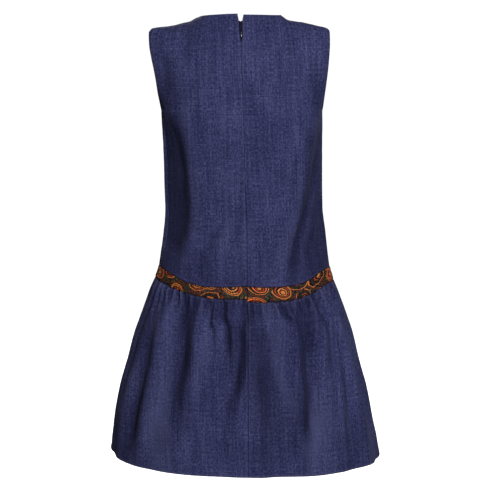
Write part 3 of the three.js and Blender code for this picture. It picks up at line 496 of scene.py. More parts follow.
# The front, of the same kind: a fall from the bust, drag lines to the side seams
# and short puckers above the band.
FRONT_CREASES = [
    dict(path=[(118, -176), (112, -250), (106, -330), (112, -400), (130, -456)], depth=-2.6, wide=(14, 16), ends=(0.25, 0.2), lip=0.0),
    dict(path=[(150, -210), (142, -300), (144, -380), (162, -446)], depth=4.0, wide=(20, 17), ends=(0.3, 0.25), lip=0.15),
    dict(path=[(-116, -180), (-110, -262), (-102, -340), (-92, -410), (-90, -470)], depth=-2.6, wide=(16, 14), ends=(0.25, 0.2), lip=0.0),
    dict(path=[(-152, -214), (-142, -300), (-130, -380), (-118, -450)], depth=3.8, wide=(17, 19), ends=(0.3, 0.2), lip=0.2),
    dict(path=[(146, -66), (138, -116), (142, -166)], depth=2.0, wide=(13, 12), ends=(0.35, 0.35)),
    dict(path=[(-146, -70), (-137, -120), (-142, -170)], depth=2.2, wide=(12, 13), ends=(0.35, 0.35)),
    dict(path=[(176, -190), (150, -206), (120, -214)], depth=1.2, wide=(6, 8), ends=(0.25, 0.5)),
    dict(path=[(178, -206), (158, -228), (132, -240)], depth=1.0, wide=(6, 7), ends=(0.25, 0.5)),
    dict(path=[(-176, -192), (-152, -205), (-124, -210)], depth=1.1, wide=(7, 6), ends=(0.25, 0.5)),
    dict(path=[(-180, -214), (-160, -232), (-138, -248)], depth=0.9, wide=(7, 6), ends=(0.25, 0.5)),
    dict(path=[(40, -230), (46, -300), (42, -372)], depth=1.3, wide=(9, 12), ends=(0.4, 0.4)),
    dict(path=[(-36, -240), (-44, -318), (-40, -396)], depth=1.2, wide=(12, 9), ends=(0.4, 0.4)),
    dict(path=[(6, -260), (4, -340), (10, -410)], depth=0.7, wide=(9, 9), ends=(0.4, 0.4)),
    dict(path=[(70, -330), (20, -340), (-30, -336)], depth=0.6, wide=(5, 6), ends=(0.4, 0.4)),
    dict(path=[(60, -360), (74, -410), (82, -470)], depth=1.9, wide=(7, 9), ends=(0.4, 0.25)),
    dict(path=[(-58, -372), (-66, -420), (-64, -476)], depth=1.7, wide=(8, 7), ends=(0.4, 0.25)),
    dict(path=[(22, -420), (26, -450), (24, -486)], depth=1.3, wide=(6, 6), ends=(0.4, 0.2)),
    dict(path=[(-16, -430), (-20, -460), (-18, -487)], depth=1.1, wide=(5, 6), ends=(0.4, 0.2)),
    dict(path=[(48, -446), (52, -486)], depth=0.9, wide=(5, 5), ends=(0.5, 0.2)),
    dict(path=[(-40, -452), (-43, -487)], depth=0.9, wide=(5, 5), ends=(0.5, 0.2)),
    dict(path=[(104, -440), (108, -482)], depth=1.2, wide=(6, 6), ends=(0.5, 0.2)),
    dict(path=[(-104, -446), (-102, -484)], depth=1.2, wide=(6, 6), ends=(0.5, 0.2)),
    dict(path=[(8, -474), (36, -477), (70, -473)], depth=0.45, wide=(1.8, 2.2), ends=(0.4, 0.4)),
    dict(path=[(-22, -470), (-52, -474), (-84, -470)], depth=0.45, wide=(1.8, 2.2), ends=(0.4, 0.4)),
]

# Long folds of the skirt. way: (how far down, share of the way round from the back seam,
# left +), deep: (how far down, mm), wide: half widths in mm on its left and right.
SKIRT_FOLDS = [
    dict(way=[(0, .74), (.125, .690), (.30, .670), (.44, .652), (.62, .660), (.80, .674), (1, .69)], deep=[(0, 2), (.10, 3), (.22, 4), (.45, 8), (.62, 11.5), (.80, 12), (.91, 5), (1, 1)], wide=(22, 14)),
    dict(way=[(0, .442), (.05, .438), (.104, .434), (.224, .418), (.344, .408), (.472, .414), (.60, .418), (1, .42)], deep=[(0, 3), (.05, 7), (.12, 11), (.22, 14), (.42, 16), (.56, 12), (.68, 5), (.80, 0), (1, 0)], wide=(26, 15)),
    dict(way=[(0, .245), (.043, .240), (.134, .236), (.19, .210), (.3, .20)], deep=[(0, 4), (.05, 7), (.13, 6), (.20, 3), (.28, 0), (1, 0)], wide=(8, 5)),
    dict(way=[(0, .150), (.033, .146), (.090, .144), (.167, .114), (.244, .105), (.321, .098), (1, .09)], deep=[(0, 3), (.04, 7), (.12, 8), (.22, 8), (.32, 5), (.42, 2), (.55, 0), (1, 0)], wide=(9, 6)),
    dict(way=[(0, .0), (.100, .004), (.161, .026), (.284, .026), (.405, .040), (.50, .060), (.62, .095), (1, .11)], deep=[(0, 2), (.07, 6), (.16, 9), (.30, 10), (.42, 11), (.55, 9), (.66, 5), (.80, 2), (1, 1)], wide=(14, 10)),
    dict(way=[(0, -.03), (.137, -.055), (.221, -.10), (.29, -.135), (.458, -.15), (.666, -.16), (1, -.17)], deep=[(0, 1), (.1, 3), (.20, 5), (.34, 5), (.46, 7), (.6, 7), (.80, 7), (1, 4)], wide=(11, 24)),
    dict(way=[(0, -.247), (.03, -.262), (.067, -.281), (.110, -.315), (.16, -.34)], deep=[(0, 4), (.05, 7), (.10, 5), (.16, 0), (1, 0)], wide=(6, 6)),
    dict(way=[(0, -.372), (.037, -.382), (.140, -.408), (.244, -.414), (.321, -.410), (.445, -.408), (.532, -.404), (.676, -.386), (1, -.37)], deep=[(0, 4), (.04, 8), (.14, 9), (.24, 9), (.34, 11), (.46, 14), (.62, 14), (.76, 8), (.86, 2), (1, 0)], wide=(10, 15)),
    dict(way=[(0, -.470), (.06, -.475), (.177, -.462), (.294, -.440), (.38, -.43)], deep=[(0, 3), (.05, 7), (.15, 8), (.26, 7), (.36, 3), (.46, 0), (1, 0)], wide=(6, 6)),
    dict(way=[(0, -.545), (.010, -.552), (.107, -.590), (.20, -.625), (.34, -.60), (.45, -.58)], deep=[(0, 4), (.06, 7), (.14, 7), (.24, 6), (.34, 4), (.46, 0), (1, 0)], wide=(8, 8)),
    dict(way=[(0, -.74), (.087, -.735), (.237, -.697), (.395, -.690), (.552, -.668), (.722, -.635), (.890, -.61), (1, -.60)], deep=[(0, 4), (.06, 8), (.18, 9), (.32, 10), (.46, 11), (.60, 9), (.76, 5), (1, 3)], wide=(9, 15)),
    dict(way=[(0, -.78), (.4, -.83), (1, -.86)], deep=[(0, 2), (.1, 4), (.35, 5), (.7, 6), (1, 4)], wide=(13, 13)),
    dict(way=[(0, .86), (.4, .84), (1, .86)], deep=[(0, 2), (.1, 4), (.3, 5), (.6, 6), (1, 4)], wide=(12, 14)),
    dict(way=[(0, .53), (.2, .50), (.5, .49), (1, .50)], deep=[(0, 2), (.08, 3.5), (.25, 3), (.5, 2), (1, 1)], wide=(9, 10)),
    dict(way=[(0, 1.06), (.4, 1.09), (1, 1.10)], deep=[(0, 2), (.1, 4), (.4, 6), (.8, 5), (1, 3)], wide=(12, 14)),
    dict(way=[(0, 1.27), (.4, 1.32), (1, 1.36)], deep=[(0, 3), (.08, 7), (.3, 10), (.6, 10), (.85, 6), (1, 4)], wide=(10, 14)),
    dict(way=[(0, 1.43), (.2, 1.45), (.4, 1.46)], deep=[(0, 2), (.08, 4.5), (.25, 3), (.4, 0), (1, 0)], wide=(6, 6)),
    dict(way=[(0, 1.56), (.4, 1.60), (1, 1.58)], deep=[(0, 3), (.08, 6), (.3, 9), (.55, 8), (.75, 4), (.9, 1), (1, 0)], wide=(9, 11)),
    dict(way=[(0, 1.71), (.5, 1.73), (1, 1.71)], deep=[(0, 2), (.1, 3), (.4, 3.5), (.8, 4), (1, 3)], wide=(10, 10)),
    dict(way=[(0, 1.84), (.4, 1.87), (1, 1.85)], deep=[(0, 3), (.08, 7), (.3, 11), (.6, 11), (.85, 7), (1, 4)], wide=(12, 9)),
    dict(way=[(0, -1.97), (.3, -1.96), (.6, -1.97), (1, -1.96)], deep=[(0, 2), (.1, 4), (.3, 4), (.6, 3.5), (1, 3)], wide=(9, 12)),
    dict(way=[(0, -1.75), (.4, -1.79), (1, -1.81)], deep=[(0, 3), (.08, 6), (.3, 8), (.55, 8), (.8, 4), (1, 2)], wide=(9, 10)),
    dict(way=[(0, -1.62), (.25, -1.64), (.4, -1.65)], deep=[(0, 2), (.08, 4.5), (.2, 3.5), (.36, 0), (1, 0)], wide=(6, 5)),
    dict(way=[(0, -1.50), (.4, -1.53), (1, -1.57)], deep=[(0, 3), (.08, 7), (.3, 10), (.65, 10), (.85, 6), (1, 4)], wide=(11, 10)),
    dict(way=[(0, -1.36), (.3, -1.37), (.6, -1.38)], deep=[(0, 2), (.08, 4), (.3, 3), (.5, 1), (.6, 0), (1, 0)], wide=(6, 7)),
    dict(way=[(0, -1.24), (.4, -1.29), (1, -1.33)], deep=[(0, 3), (.1, 6), (.3, 8), (.6, 8), (1, 4)], wide=(13, 12)),
    dict(way=[(0, -1.05), (.4, -1.07), (1, -1.08)], deep=[(0, 2), (.1, 3), (.4, 5), (.8, 5), (1, 3)], wide=(14, 12)),
]
# Gathers that run out below the band: place round, half width, depth, reach in mm, drift.
GATHERS = [
    (.92, 5, 2.4, 42, .02), (.80, 6, 2.6, 60, .01), (.70, 4, 2.2, 36, .0), (.64, 5, 3.0, 58, -.02), (.58, 4, 2.6, 44, .0),
    (.52, 4, 2.4, 38, .01), (.46, 5, 3.0, 52, .01), (.43, 3, 1.8, 26, .0), (.365, 4, 2.6, 40, .0), (.33, 4, 2.4, 34, -.01),
    (.285, 4, 2.8, 46, -.01), (.26, 3, 1.8, 24, .0), (.205, 4, 2.4, 36, .0), (.18, 4, 2.6, 50, -.01), (.155, 3, 1.6, 22, .0),
    (.095, 3, 2.0, 30, .0), (.07, 4, 2.6, 44, .0), (.035, 3, 2.0, 28, .0), (.0, 3, 2.0, 24, .0), (-.055, 3, 2.2, 30, -.01),
    (-.085, 3, 1.8, 24, .0), (-.11, 4, 2.8, 52, -.02), (-.14, 3, 2.0, 26, .0), (-.165, 4, 2.4, 36, -.01), (-.20, 4, 2.6, 40, -.02),
    (-.27, 3, 2.0, 28, -.02), (-.30, 4, 2.6, 44, -.02), (-.335, 4, 2.2, 30, -.01), (-.41, 3, 2.0, 30, .0), (-.44, 5, 3.0, 56, .02),
    (-.47, 3, 2.0, 28, .01), (-.53, 4, 2.4, 36, .02), (-.56, 5, 2.8, 54, .02), (-.60, 4, 2.2, 30, .0), (-.66, 4, 2.4, 40, -.01),
    (-.70, 5, 3.0, 56, -.02), (-.74, 4, 2.2, 30, .0), (-.82, 5, 2.6, 46, -.02), (-.88, 5, 2.4, 50, -.02), (-.94, 5, 2.4, 40, -.01),
]
_rng = np.random.default_rng(11)
_p = 1.0
while _p < 2.99:
    GATHERS.append((_p if _p <= 2 else _p - 4, _rng.uniform(3, 5.5), _rng.uniform(1.8, 3.2), _rng.uniform(24, 62), _rng.uniform(-.02, .02)))
    _p += _rng.uniform(.024, .062)
TUCKS = []
_p = -2.0
while _p < 1.99:
    TUCKS.append((_p, _rng.uniform(1.5, 2.4), _rng.uniform(.5, 1.1), _rng.uniform(7, 16), 0.0))
    _p += _rng.uniform(.018, .032)


# Painted shade: the deep folds of the skirt are painted darker: middle, half width in mm, how much.
FOLD_PAINTED_SHADE = [
    dict(way=[(0, .70), (.125, .664), (.30, .645), (.44, .626), (.62, .634), (.80, .652), (1, .67)], much=[(0, .1), (.12, .1), (.30, .1), (.44, .4), (.62, .75), (.80, .85), (.93, .5), (1, .3)], wide=(19, 15)),
    dict(way=[(0, .405), (.104, .408), (.224, .388), (.344, .372), (.472, .374), (.60, .372), (1, .37)], much=[(0, .3), (.05, .6), (.12, .9), (.3, 1.0), (.46, .95), (.58, .7), (.70, .5), (.80, .2), (.9, 0), (1, 0)], wide=(19, 18)),
    dict(way=[(0, .232), (.134, .228), (.187, .198), (1, .19)], much=[(0, .3), (.05, .6), (.13, .5), (.22, 0), (1, 0)], wide=(6, 6)),
    dict(way=[(0, .131), (.090, .131), (.167, .098), (.244, .090), (.321, .082), (1, .08)], much=[(0, .3), (.05, .9), (.15, 1.1), (.26, 1.2), (.36, .5), (.47, 0), (1, 0)], wide=(8, 8)),
    dict(way=[(0, -.02), (.100, -.014), (.161, .009), (.284, .004), (.405, .018), (.50, .036), (.60, .070), (1, .09)], much=[(0, .1), (.07, .6), (.16, .9), (.30, .8), (.46, .9), (.56, .6), (.72, .15), (1, 0)], wide=(11, 12)),
    dict(way=[(0, -.04), (.137, -.07), (.221, -.107), (.30, -.115), (.458, -.111), (.666, -.12), (1, -.13)], much=[(0, 0), (.13, .5), (.22, .7), (.32, .6), (.46, .75), (.58, .65), (.72, .5), (.86, .4), (1, .1)], wide=(16, 22)),
    dict(way=[(0, -.03), (.25, -.025), (.324, -.045), (.43, -.080), (.502, -.120), (.60, -.155), (.709, -.185), (1, -.19)], much=[(0, 0), (.12, 0), (.19, .35), (.26, .45), (.34, .4), (.42, .4), (.52, .42), (.60, .4), (.70, .35), (.8, .15), (1, 0)], wide=(32, 40)),
    dict(way=[(0, -.05), (.1, -.08), (1, -.09)], much=[(0, .4), (.06, .35), (.12, 0), (1, 0)], wide=(16, 20)),
    dict(way=[(0, .58), (.1, .56), (1, .56)], much=[(0, .5), (.06, .3), (.12, 0), (1, 0)], wide=(8, 8)),
    dict(way=[(0, -.251), (.067, -.281), (.110, -.315), (1, -.35)], much=[(0, .4), (.05, .7), (.10, .4), (.15, 0), (1, 0)], wide=(6, 6)),
    dict(way=[(0, -.36), (.037, -.367), (.140, -.388), (.244, -.390), (.321, -.384), (.445, -.376), (.532, -.370), (.676, -.355), (1, -.34)], much=[(0, .3), (.05, .6), (.2, .7), (.35, .8), (.5, 1.15), (.66, 1.15), (.78, .5), (.88, .1), (1, 0)], wide=(16, 13)),
    dict(way=[(0, -.484), (.060, -.484), (.177, -.457), (.294, -.432), (1, -.41)], much=[(0, .3), (.06, .6), (.2, .6), (.32, .3), (.42, 0), (1, 0)], wide=(7, 7)),
    dict(way=[(0, -.548), (.107, -.582), (.20, -.60), (.32, -.56), (1, -.54)], much=[(0, .3), (.07, .6), (.2, .45), (.36, .35), (.46, 0), (1, 0)], wide=(8, 8)),
    dict(way=[(0, -.75), (.087, -.726), (.237, -.682), (.395, -.673), (.552, -.647), (.722, -.613), (1, -.58)], much=[(0, .2), (.08, .5), (.3, .5), (.5, .7), (.66, .4), (.8, .1), (1, 0)], wide=(9, 11)),
]


# Painted light: the broad ridges of the skirt are painted lighter: middle, how much, half width in mm.
RIDGE_PAINTED_LIGHT = [
    dict(way=[(0, -.18), (.197, -.205), (.321, -.195), (.502, -.240), (.65, -.30), (1, -.32)], much=[(0, 0), (.12, .2), (.22, .6), (.40, .6), (.55, .5), (.68, .1), (.8, 0), (1, 0)], wide=(14, 16)),
    dict(way=[(0, -.40), (.515, -.42), (.719, -.400), (.843, -.370), (1, -.36)], much=[(0, 0), (.40, 0), (.55, .3), (.70, 1.1), (.84, .8), (1, .3)], wide=(22, 30)),
    dict(way=[(0, .50), (.298, .505), (.448, .50), (.599, .485), (.753, .46), (1, .44)], much=[(0, 0), (.20, .3), (.45, .45), (.60, .6), (.75, 1.1), (.88, .6), (1, .2)], wide=(26, 24)),
    dict(way=[(0, .27), (.35, .27), (.6, .28), (1, .28)], much=[(0, 0), (.22, .2), (.35, .4), (.5, .3), (.65, 0), (1, 0)], wide=(14, 14)),
]


def fold_painted_shading(rnd, down, z):
    """0..1: painted shade, deeper in the folds of the skirt, and painted light, higher up on them."""
    Q = quarter(z)
    total = np.zeros_like(z)
    for f in FOLD_PAINTED_SHADE:
        way, much = np.array(f["way"], float), np.array(f["much"], float)
        x = around(rnd, curve({"d": way[:, 0], "p": way[:, 1]}, "d", "p")(down)) * Q
        w = np.where(x > 0, f["wide"][0], f["wide"][1]) * (1 + 0.3 * down)
        total += curve({"d": much[:, 0], "m": much[:, 1]}, "d", "m")(down) * np.exp(-(x / w) ** 2)
    hidden = smooth((np.abs(rnd) - 0.95) / 0.2)
    for f in SKIRT_FOLDS:
        way, deep = np.array(f["way"], float), np.array(f["deep"], float)
        place = curve({"d": way[:, 0], "p": way[:, 1]}, "d", "p")(down)
        x = around(rnd, place) * Q
        w = np.where(x > 0, f["wide"][0], f["wide"][1]) * (1.0 + 0.5 * down)
        total += hidden * curve({"d": deep[:, 0], "m": deep[:, 1]}, "d", "m")(down) / 13 * np.exp(-(x / w) ** 2)
    s = down * 322.0
    lit = np.zeros_like(z)
    for f in RIDGE_PAINTED_LIGHT:
        way, much = np.array(f["way"], float), np.array(f["much"], float)
        x = around(rnd, curve({"d": way[:, 0], "p": way[:, 1]}, "d", "p")(down)) * Q
        w = np.where(x > 0, f["wide"][0], f["wide"][1])
        lit += curve({"d": much[:, 0], "m": much[:, 1]}, "d", "m")(down) * np.exp(-(x / w) ** 2)
    # Painted shade in the troughs of the gathers and tucks, painted light on the puffs beside them.
    for place, w, depth, reach, drift in GATHERS + TUCKS:
        x = around(rnd, place + drift * down * 3) * Q
        q = np.abs(x / (0.95 * w * (1 + 0.8 * s / reach)))
        fade = np.exp(-(s / (0.8 * reach)) ** 1.5)
        total += np.where(q < 4, 0.26 * depth * fade * np.exp(-q * q), 0)
        lit += np.where(q < 5, 0.26 * depth * fade * np.exp(-((q - 1.5) / 0.5) ** 2), 0)
    return np.clip(total, 0, 1.3), np.clip(lit - 0.5 * total, 0, 1)


def around(rnd, place):
    return (rnd - place + 2.0) % 4.0 - 2.0


def skirt_relief(rnd, down, z, length):
    Q = quarter(z)
    s = down * length
    out = np.zeros_like(z)
    for f in SKIRT_FOLDS:
        way, deep = np.array(f["way"], float), np.array(f["deep"], float)
        place = curve({"d": way[:, 0], "p": way[:, 1]}, "d", "p")(down)
        depth = curve({"d": deep[:, 0], "m": deep[:, 1]}, "d", "m")(down)
        x = around(rnd, place) * Q
        grow = 1.0 + 0.62 * down
        w = np.where(x > 0, f["wide"][0], f["wide"][1]) * grow
        q = np.abs(x / w)
        out += 1.18 * depth * (-np.exp(-q * q) + 0.30 * np.exp(-((q - 1.8) / 0.8) ** 2))
    for place, w, depth, reach, drift in GATHERS + TUCKS:
        x = around(rnd, place + drift * down * 3) * Q
        near = np.abs(x) < w * 5
        if not near.any():
            continue
        q = np.abs(x / (1.05 * w * (1 + 0.8 * s / reach)))
        fade = np.exp(-(s / (0.95 * reach)) ** 1.5)
        out += np.where(near, 2.1 * depth * fade * (-np.exp(-q * q) + 0.55 * np.exp(-((q - 1.6) / 0.75) ** 2)), 0)
    side_seam = np.exp(-((np.abs(rnd) - 1.0) / 0.26) ** 2)
    out = np.where(out > 0, out * (1 - side_seam * (1 - 0.8 * smooth((s - 6.0) / 40.0))), out)
    hold = 0.42 + 0.58 * smooth(s / 6.0)
    swell = (2.2 * (1 - np.exp(-s / 6.0)) - 1.6 * smooth(s / 70.0)) * (1 - side_seam)
    wave = (1.6 * np.sin(rnd * math.pi * 3.5 + 0.8) + 1.2 * np.sin(rnd * math.pi * 5.5 + 2.1)) * smooth((down - 0.35) / 0.6)
    calm = 1 - 0.9 * np.exp(-((np.abs(rnd) - 1.0) / 0.15) ** 2) * smooth((down - 0.35) / 0.4)
    return (out * hold + wave) * calm + swell


def band_relief(rnd, z, t):
    """Puffed between its two seams, with little upright tucks."""
    Q = quarter(z)
    out = 1.3 * (1 - (2 * t - 1) ** 4) - 0.25
    for place, w, depth, reach, drift in GATHERS:
        x = around(rnd, place) * Q
        q = np.abs(x / (w * 0.62))
        out += -0.55 * depth * np.exp(-q * q) * (1 - 0.7 * t)
    for place, w, depth, reach, drift in TUCKS[::2]:
        x = around(rnd, place + 0.011) * Q
        q = np.abs(x / 1.7)
        out += -0.45 * depth * np.exp(-q * q) * (0.35 + 0.65 * np.abs(2 * t - 1))
    return out


# ---------------------------------------------------------------- meshes
def quads_mesh(name, verts, quads, attrs=None):
    me = bpy.data.meshes.new(name)
    verts = np.asarray(verts, np.float32)
    quads = np.asarray(quads, np.int32)
    n = quads.shape[1]
    me.vertices.add(len(verts))
    me.vertices.foreach_set("co", verts.ravel())
    me.loops.add(quads.size)
    me.loops.foreach_set("vertex_index", quads.ravel())
    me.polygons.add(len(quads))
    me.polygons.foreach_set("loop_start", np.arange(0, quads.size, n, dtype=np.int32))
    me.polygons.foreach_set("loop_total", np.full(len(quads), n, np.int32))
    me.polygons.foreach_set("use_smooth", np.ones(len(quads), bool))
    me.update(calc_edges=True)
    me.validate()
    for key, data in (attrs or {}).items():
        a = me.attributes.new(key, "FLOAT_VECTOR", "POINT")
        a.data.foreach_set("vector", np.asarray(data, np.float32).ravel())
    ob = bpy.data.objects.new(name, me)
    bpy.context.scene.collection.objects.link(ob)
    return ob


def shell(name, P, sign, thick, cloth, edge, tone=None):
    """A closed thin wall on the grid P (mm) with rounded rims. thick, and the attribute
    grids, are per point; edge holds the distances from hem, seams and turned edges."""
    R, C, _ = P.shape
    N, _ = grid_normals(P, sign)
    cols, rows = row_arcs(P), column_arcs(P)
    rim = np.minimum(np.minimum(cols, cols[:, -1:] - cols), np.minimum(rows, rows[-1:] - rows))
    drop = (0.44 * thick * (1 - np.clip(rim / 0.75, 0, 1)) ** 2)[..., None]
    outer = P - N * drop
    inner = P - N * (thick[..., None] - drop)
    idx = np.arange(R * C).reshape(R, C)
    q = np.stack([idx[:-1, :-1], idx[:-1, 1:], idx[1:, 1:], idx[1:, :-1]], -1).reshape(-1, 4)
    loop = np.concatenate([idx[0, :], idx[1:, -1], idx[-1, -2::-1], idx[-2:0:-1, 0]])
    nxt = np.roll(loop, -1)
    off = R * C
    sides = np.stack([nxt, loop, loop + off, nxt + off], -1)
    quads = np.concatenate([q, q[:, ::-1] + off, sides])
    verts = np.concatenate([outer.reshape(-1, 3), inner.reshape(-1, 3)]) * MM
    # face outwards
    a, b, c = verts[quads[:, 0]], verts[quads[:, 1]], verts[quads[:, 2]]
    d = verts[quads[:, 3]]
    vol = (a * np.cross(b, c)).sum() + (a * np.cross(c, d)).sum()
    if vol < 0:
        quads = quads[:, ::-1]
    flag = np.concatenate([np.zeros(off), np.ones(off)])
    cl = np.concatenate([cloth.reshape(-1, 2)] * 2) * MM
    attrs = {
        "cloth": np.stack([cl[:, 0], cl[:, 1], flag], -1),
        "edge": np.concatenate([edge.reshape(-1, 3)] * 2) * MM,
    }
    # tone holds painted shade and painted light, on the outer face only
    if tone is not None:
        t = np.concatenate([tone.reshape(-1, 2), np.zeros((off, 2))])
        attrs["painted_shading"] = np.stack([t[:, 0], t[:, 1], t[:, 0]], -1)
    return quads_mesh(name, verts, quads, attrs)


FAR = 900.0


# Painted shade: darker streaks rising from the band on the back: across, lean, top level, half width, how much.
SHADE_STREAKS = [(78, 2, -350, 17, .20), (24, 1, -340, 20, .20), (112, 4, -400, 3.5, .35), (104, 3, -420, 3, .30), (75, 3, -395, 4, .30), (62, 2, -410, 4, .30), (36, 2, -430, 5, .18),
           (14, 0, -420, 5, .16), (-18, 0, -410, 6, .16), (-40, 1, -430, 5, .20), (-72, -2, -400, 5, .22), (-84, -2, -440, 3, .30)]


def bodice_piece(name, face, side=0):
    if face == "back":
        P, arcs, sh = back_bodice_base(side, 92, 100, 46)
        U = arcs * side
    else:
        P, sd, sh = front_bodice_base(90, 100, 46)
        arcs = row_arcs(P)
        mid = P.shape[1] // 2
        U = arcs - arcs[:, mid:mid + 1]
    nb = P.shape[0] - (46 + 11)
    cols, rows = row_arcs(P), column_arcs(P)
    to_low, to_top = rows, rows[-1:] - rows
    Z = P[..., 2]
    arm_row = (np.arange(P.shape[0]) >= nb)[:, None]
    neck_col = (np.abs(sh) < NECK_SHARE)[None, :]
    ends = [cols[:, -1:] - cols] if face == "back" else [cols, cols[:, -1:] - cols]
    side_d = np.minimum.reduce(ends)
    seam = np.minimum(to_low, np.where(arm_row, FAR, side_d))
    seam = np.minimum(seam, np.where(neck_col, FAR, to_top))
    turned = np.minimum(np.where(arm_row, side_d, FAR), np.where(neck_col, to_top, FAR))
    centre = cols if face == "back" else np.full_like(cols, FAR)
    N, sign = grid_normals(P)
    relief = line_creases(U, Z, BACK_CREASES if face == "back" else FRONT_CREASES)
    # Painted shade: the flanks, where the cloth turns away to the sides, are painted darker below the arms.
    below_arm_mask = smooth((-195 - Z) / 45.0)
    if face == "back":
        edge_at = np.interp(-Z, [180, 225, 290, 375, 440, 495], [128, 123, 112, 112, 116, 146] if side > 0 else [124, 116, 112, 100, 77, 72])
        past = np.abs(U) - edge_at
        rim = smooth((past - 26) / 20.0)
        flank_painted_shade = smooth((past + 4) / 14.0) * (0.30 + 0.28 * rim if side > 0 else 0.62 + 0.12 * rim - 0.34 * np.exp(-((past - 40) / 11.0) ** 2))
    else:
        flank_painted_shade = 0.25 * smooth((np.abs(U) - 122) / 30.0)
    shade_streaks = np.zeros_like(Z)
    for at, lean, low, wide, much in (SHADE_STREAKS if face == "back" else []):
        if at * side > 0:
            climb = np.clip((Z + 520) / (low + 520.0), 0, 2)
            shade_streaks += much * np.exp(-((U - at - lean * climb) / wide) ** 2) * (1 - smooth(climb))
    # Painted shade: the flanks, the troughs of the creases, the streaks, and a little darker towards the band.
    tone = np.clip(flank_painted_shade * below_arm_mask + np.clip(-relief / 3.4, 0, 0.45) + 0.10 * smooth((-330 - Z) / 90.0) + shade_streaks, 0, 1)
    # Painted light on the raised creases, kept off the flanks below the arms.
    lit = np.clip(relief / 4.0, 0, 0.3) * (1 - below_arm_mask * smooth((np.abs(U) - 100) / 20.0))
    calm = smooth(seam / 10.0) * smooth(turned / 10.0) * smooth(centre / 5.0)
    relief = relief * (0.25 + 0.75 * smooth(seam / 12.0)) * (0.3 + 0.7 * smooth(turned / 14.0))
    relief += crumple(U, Z, 5 if face == "back" else 6, 26, 90, 0.30, squeeze=0.55) * calm
    relief += crumple(U, Z, 7 if face == "back" else 8, 11, 26, 0.085, squeeze=0.7) * calm
    relief += -0.55 * np.exp(-(seam / 1.7) ** 2)
    relief += -0.45 * np.exp(-(centre / 1.8) ** 2) * (Z < -60) - 0.45 * np.exp(-(centre / 2.2) ** 2) * smooth((-316 - Z) / 8.0)
    relief += -0.22 * np.exp(-((turned - 7.0) / 1.2) ** 2)
    Q = P + N * relief[..., None]
    # side and shoulder seams: the edges lap, so that no light shows between them
    way = 1.0 if face == "back" else -1.0
    Q[..., 1] = np.where(np.abs(P[..., 1]) < 0.12, -way * 0.40, Q[..., 1])
    thick = 1.0 + 0.8 * (1 - smooth((turned - 6.0) / 2.0)) + 0.5 * (1 - smooth((centre - 10) / 3.0)) * (Z > -330)
    edge = np.stack([np.full_like(seam, FAR), np.minimum(seam, centre + 0.9 * smooth((Z + 330) / 14.0)), turned], -1)
    ob = shell(name, Q, sign, thick, np.stack([U, Z], -1), edge, np.stack([tone, lit], -1))
    return ob, Q


def from_centre(rnd):
    """The place round counted from the middle of the back or of the front."""
    return np.where(np.abs(rnd) > 1.0, rnd - 2.0 * np.sign(rnd), rnd)


def band_piece(name, face, side=0):
    sd, sh = columns_of(face, side, 230 if face == "back" else 460)
    rows = spaced(26, 26.0)
    P, rnd = level_grid(face, sd, sh, rows, band_level(face))
    N, sign = grid_normals(P)
    cols, ups = row_arcs(P), column_arcs(P)
    t = rows[:, None] + 0 * cols
    seam = np.minimum(np.minimum(cols, cols[:, -1:] - cols), np.minimum(ups, ups[-1:] - ups))
    U = from_centre(rnd) * quarter(P[..., 2])
    relief = band_relief(rnd, P[..., 2], t) + crumple(U, P[..., 2], 15, 8, 30, 0.16) - 0.9 * np.exp(-(seam / 1.4) ** 2)
    Q = P + N * relief[..., None]
    height = ups - ups[-1:] / 2
    edge = np.stack([np.full_like(seam, FAR), seam, np.full_like(seam, FAR)], -1)
    return shell(name, Q, sign, np.full_like(seam, 1.0), np.stack([U, height], -1), edge), Q


def skirt_piece(name, face, side=0):
    sd, sh = columns_of(face, side, 200 if face == "back" else 400)
    top = np.linspace(0, 1, 92) ** 1.35
    down = np.concatenate([np.array(EDGE_STEPS) / 322.0, (4.8 + (322 - 4.8 - 5.0) * top) / 322.0, 1 - np.array(EDGE_STEPS[::-1]) / 322.0])
    rows = 1 - down
    P, rnd = level_grid(face, sd, sh, rows, skirt_level(face))
    N, sign = grid_normals(P)
    cols, ups = row_arcs(P), column_arcs(P)
    from_band, from_hem = ups, ups[-1:] - ups
    z = P[..., 2]
    d = down[:, None] + 0 * z
    side_d = np.minimum(cols, cols[:, -1:] - cols)
    U = from_centre(rnd) * quarter(z)
    relief = skirt_relief(rnd, d, z, 322.0)
    relief += crumple(U, z, 25, 30, 110, 0.40, squeeze=0.4) * smooth(from_band / 20) * smooth(from_hem / 12)
    relief += crumple(U, z, 26, 12, 28, 0.10, squeeze=0.5)
    relief += -0.5 * np.exp(-(side_d / 1.8) ** 2) - 0.6 * np.exp(-(from_band / 1.6) ** 2)
    line = from_hem - 43.0
    relief += -0.35 * np.exp(-(line / 1.5) ** 2) + 0.15 * (1 - smooth((line + 1.0) / 2.0))
    pucker = np.sin(U * 2 * math.pi / 9.5 + 1.7 * np.sin(U / 31.0)) * 0.16 + np.sin(U * 2 * math.pi / 21 + 0.6) * 0.2
    relief += pucker * np.exp(-(line / 7.0) ** 2)
    Q = P + N * relief[..., None]
    Q[..., 2] += 0.5 * np.sin(rnd * 3 * math.pi + 1.0) * smooth((d - 0.8) / 0.2)
    thick = 1.0 + 0.8 * (1 - smooth((from_hem - 42.0) / 1.6))
    edge = np.stack([from_hem, np.minimum(side_d, from_band), np.full_like(z, FAR)], -1)
    # painted shade in the folds and painted light on the ridges, carried to the material
    tone = np.stack(fold_painted_shading(rnd, d, z), -1)
    return shell(name, Q, sign, thick, np.stack([U, z], -1), edge, tone), Q, from_hem


def resample(line, spacing):
    seg = np.linalg.norm(np.diff(line, axis=0), axis=1)
    at = np.concatenate([[0], np.cumsum(seg)])
    want = np.arange(spacing / 2, at[-1], spacing)
    return np.stack([np.interp(want, at, line[:, c]) for c in range(3)], -1)


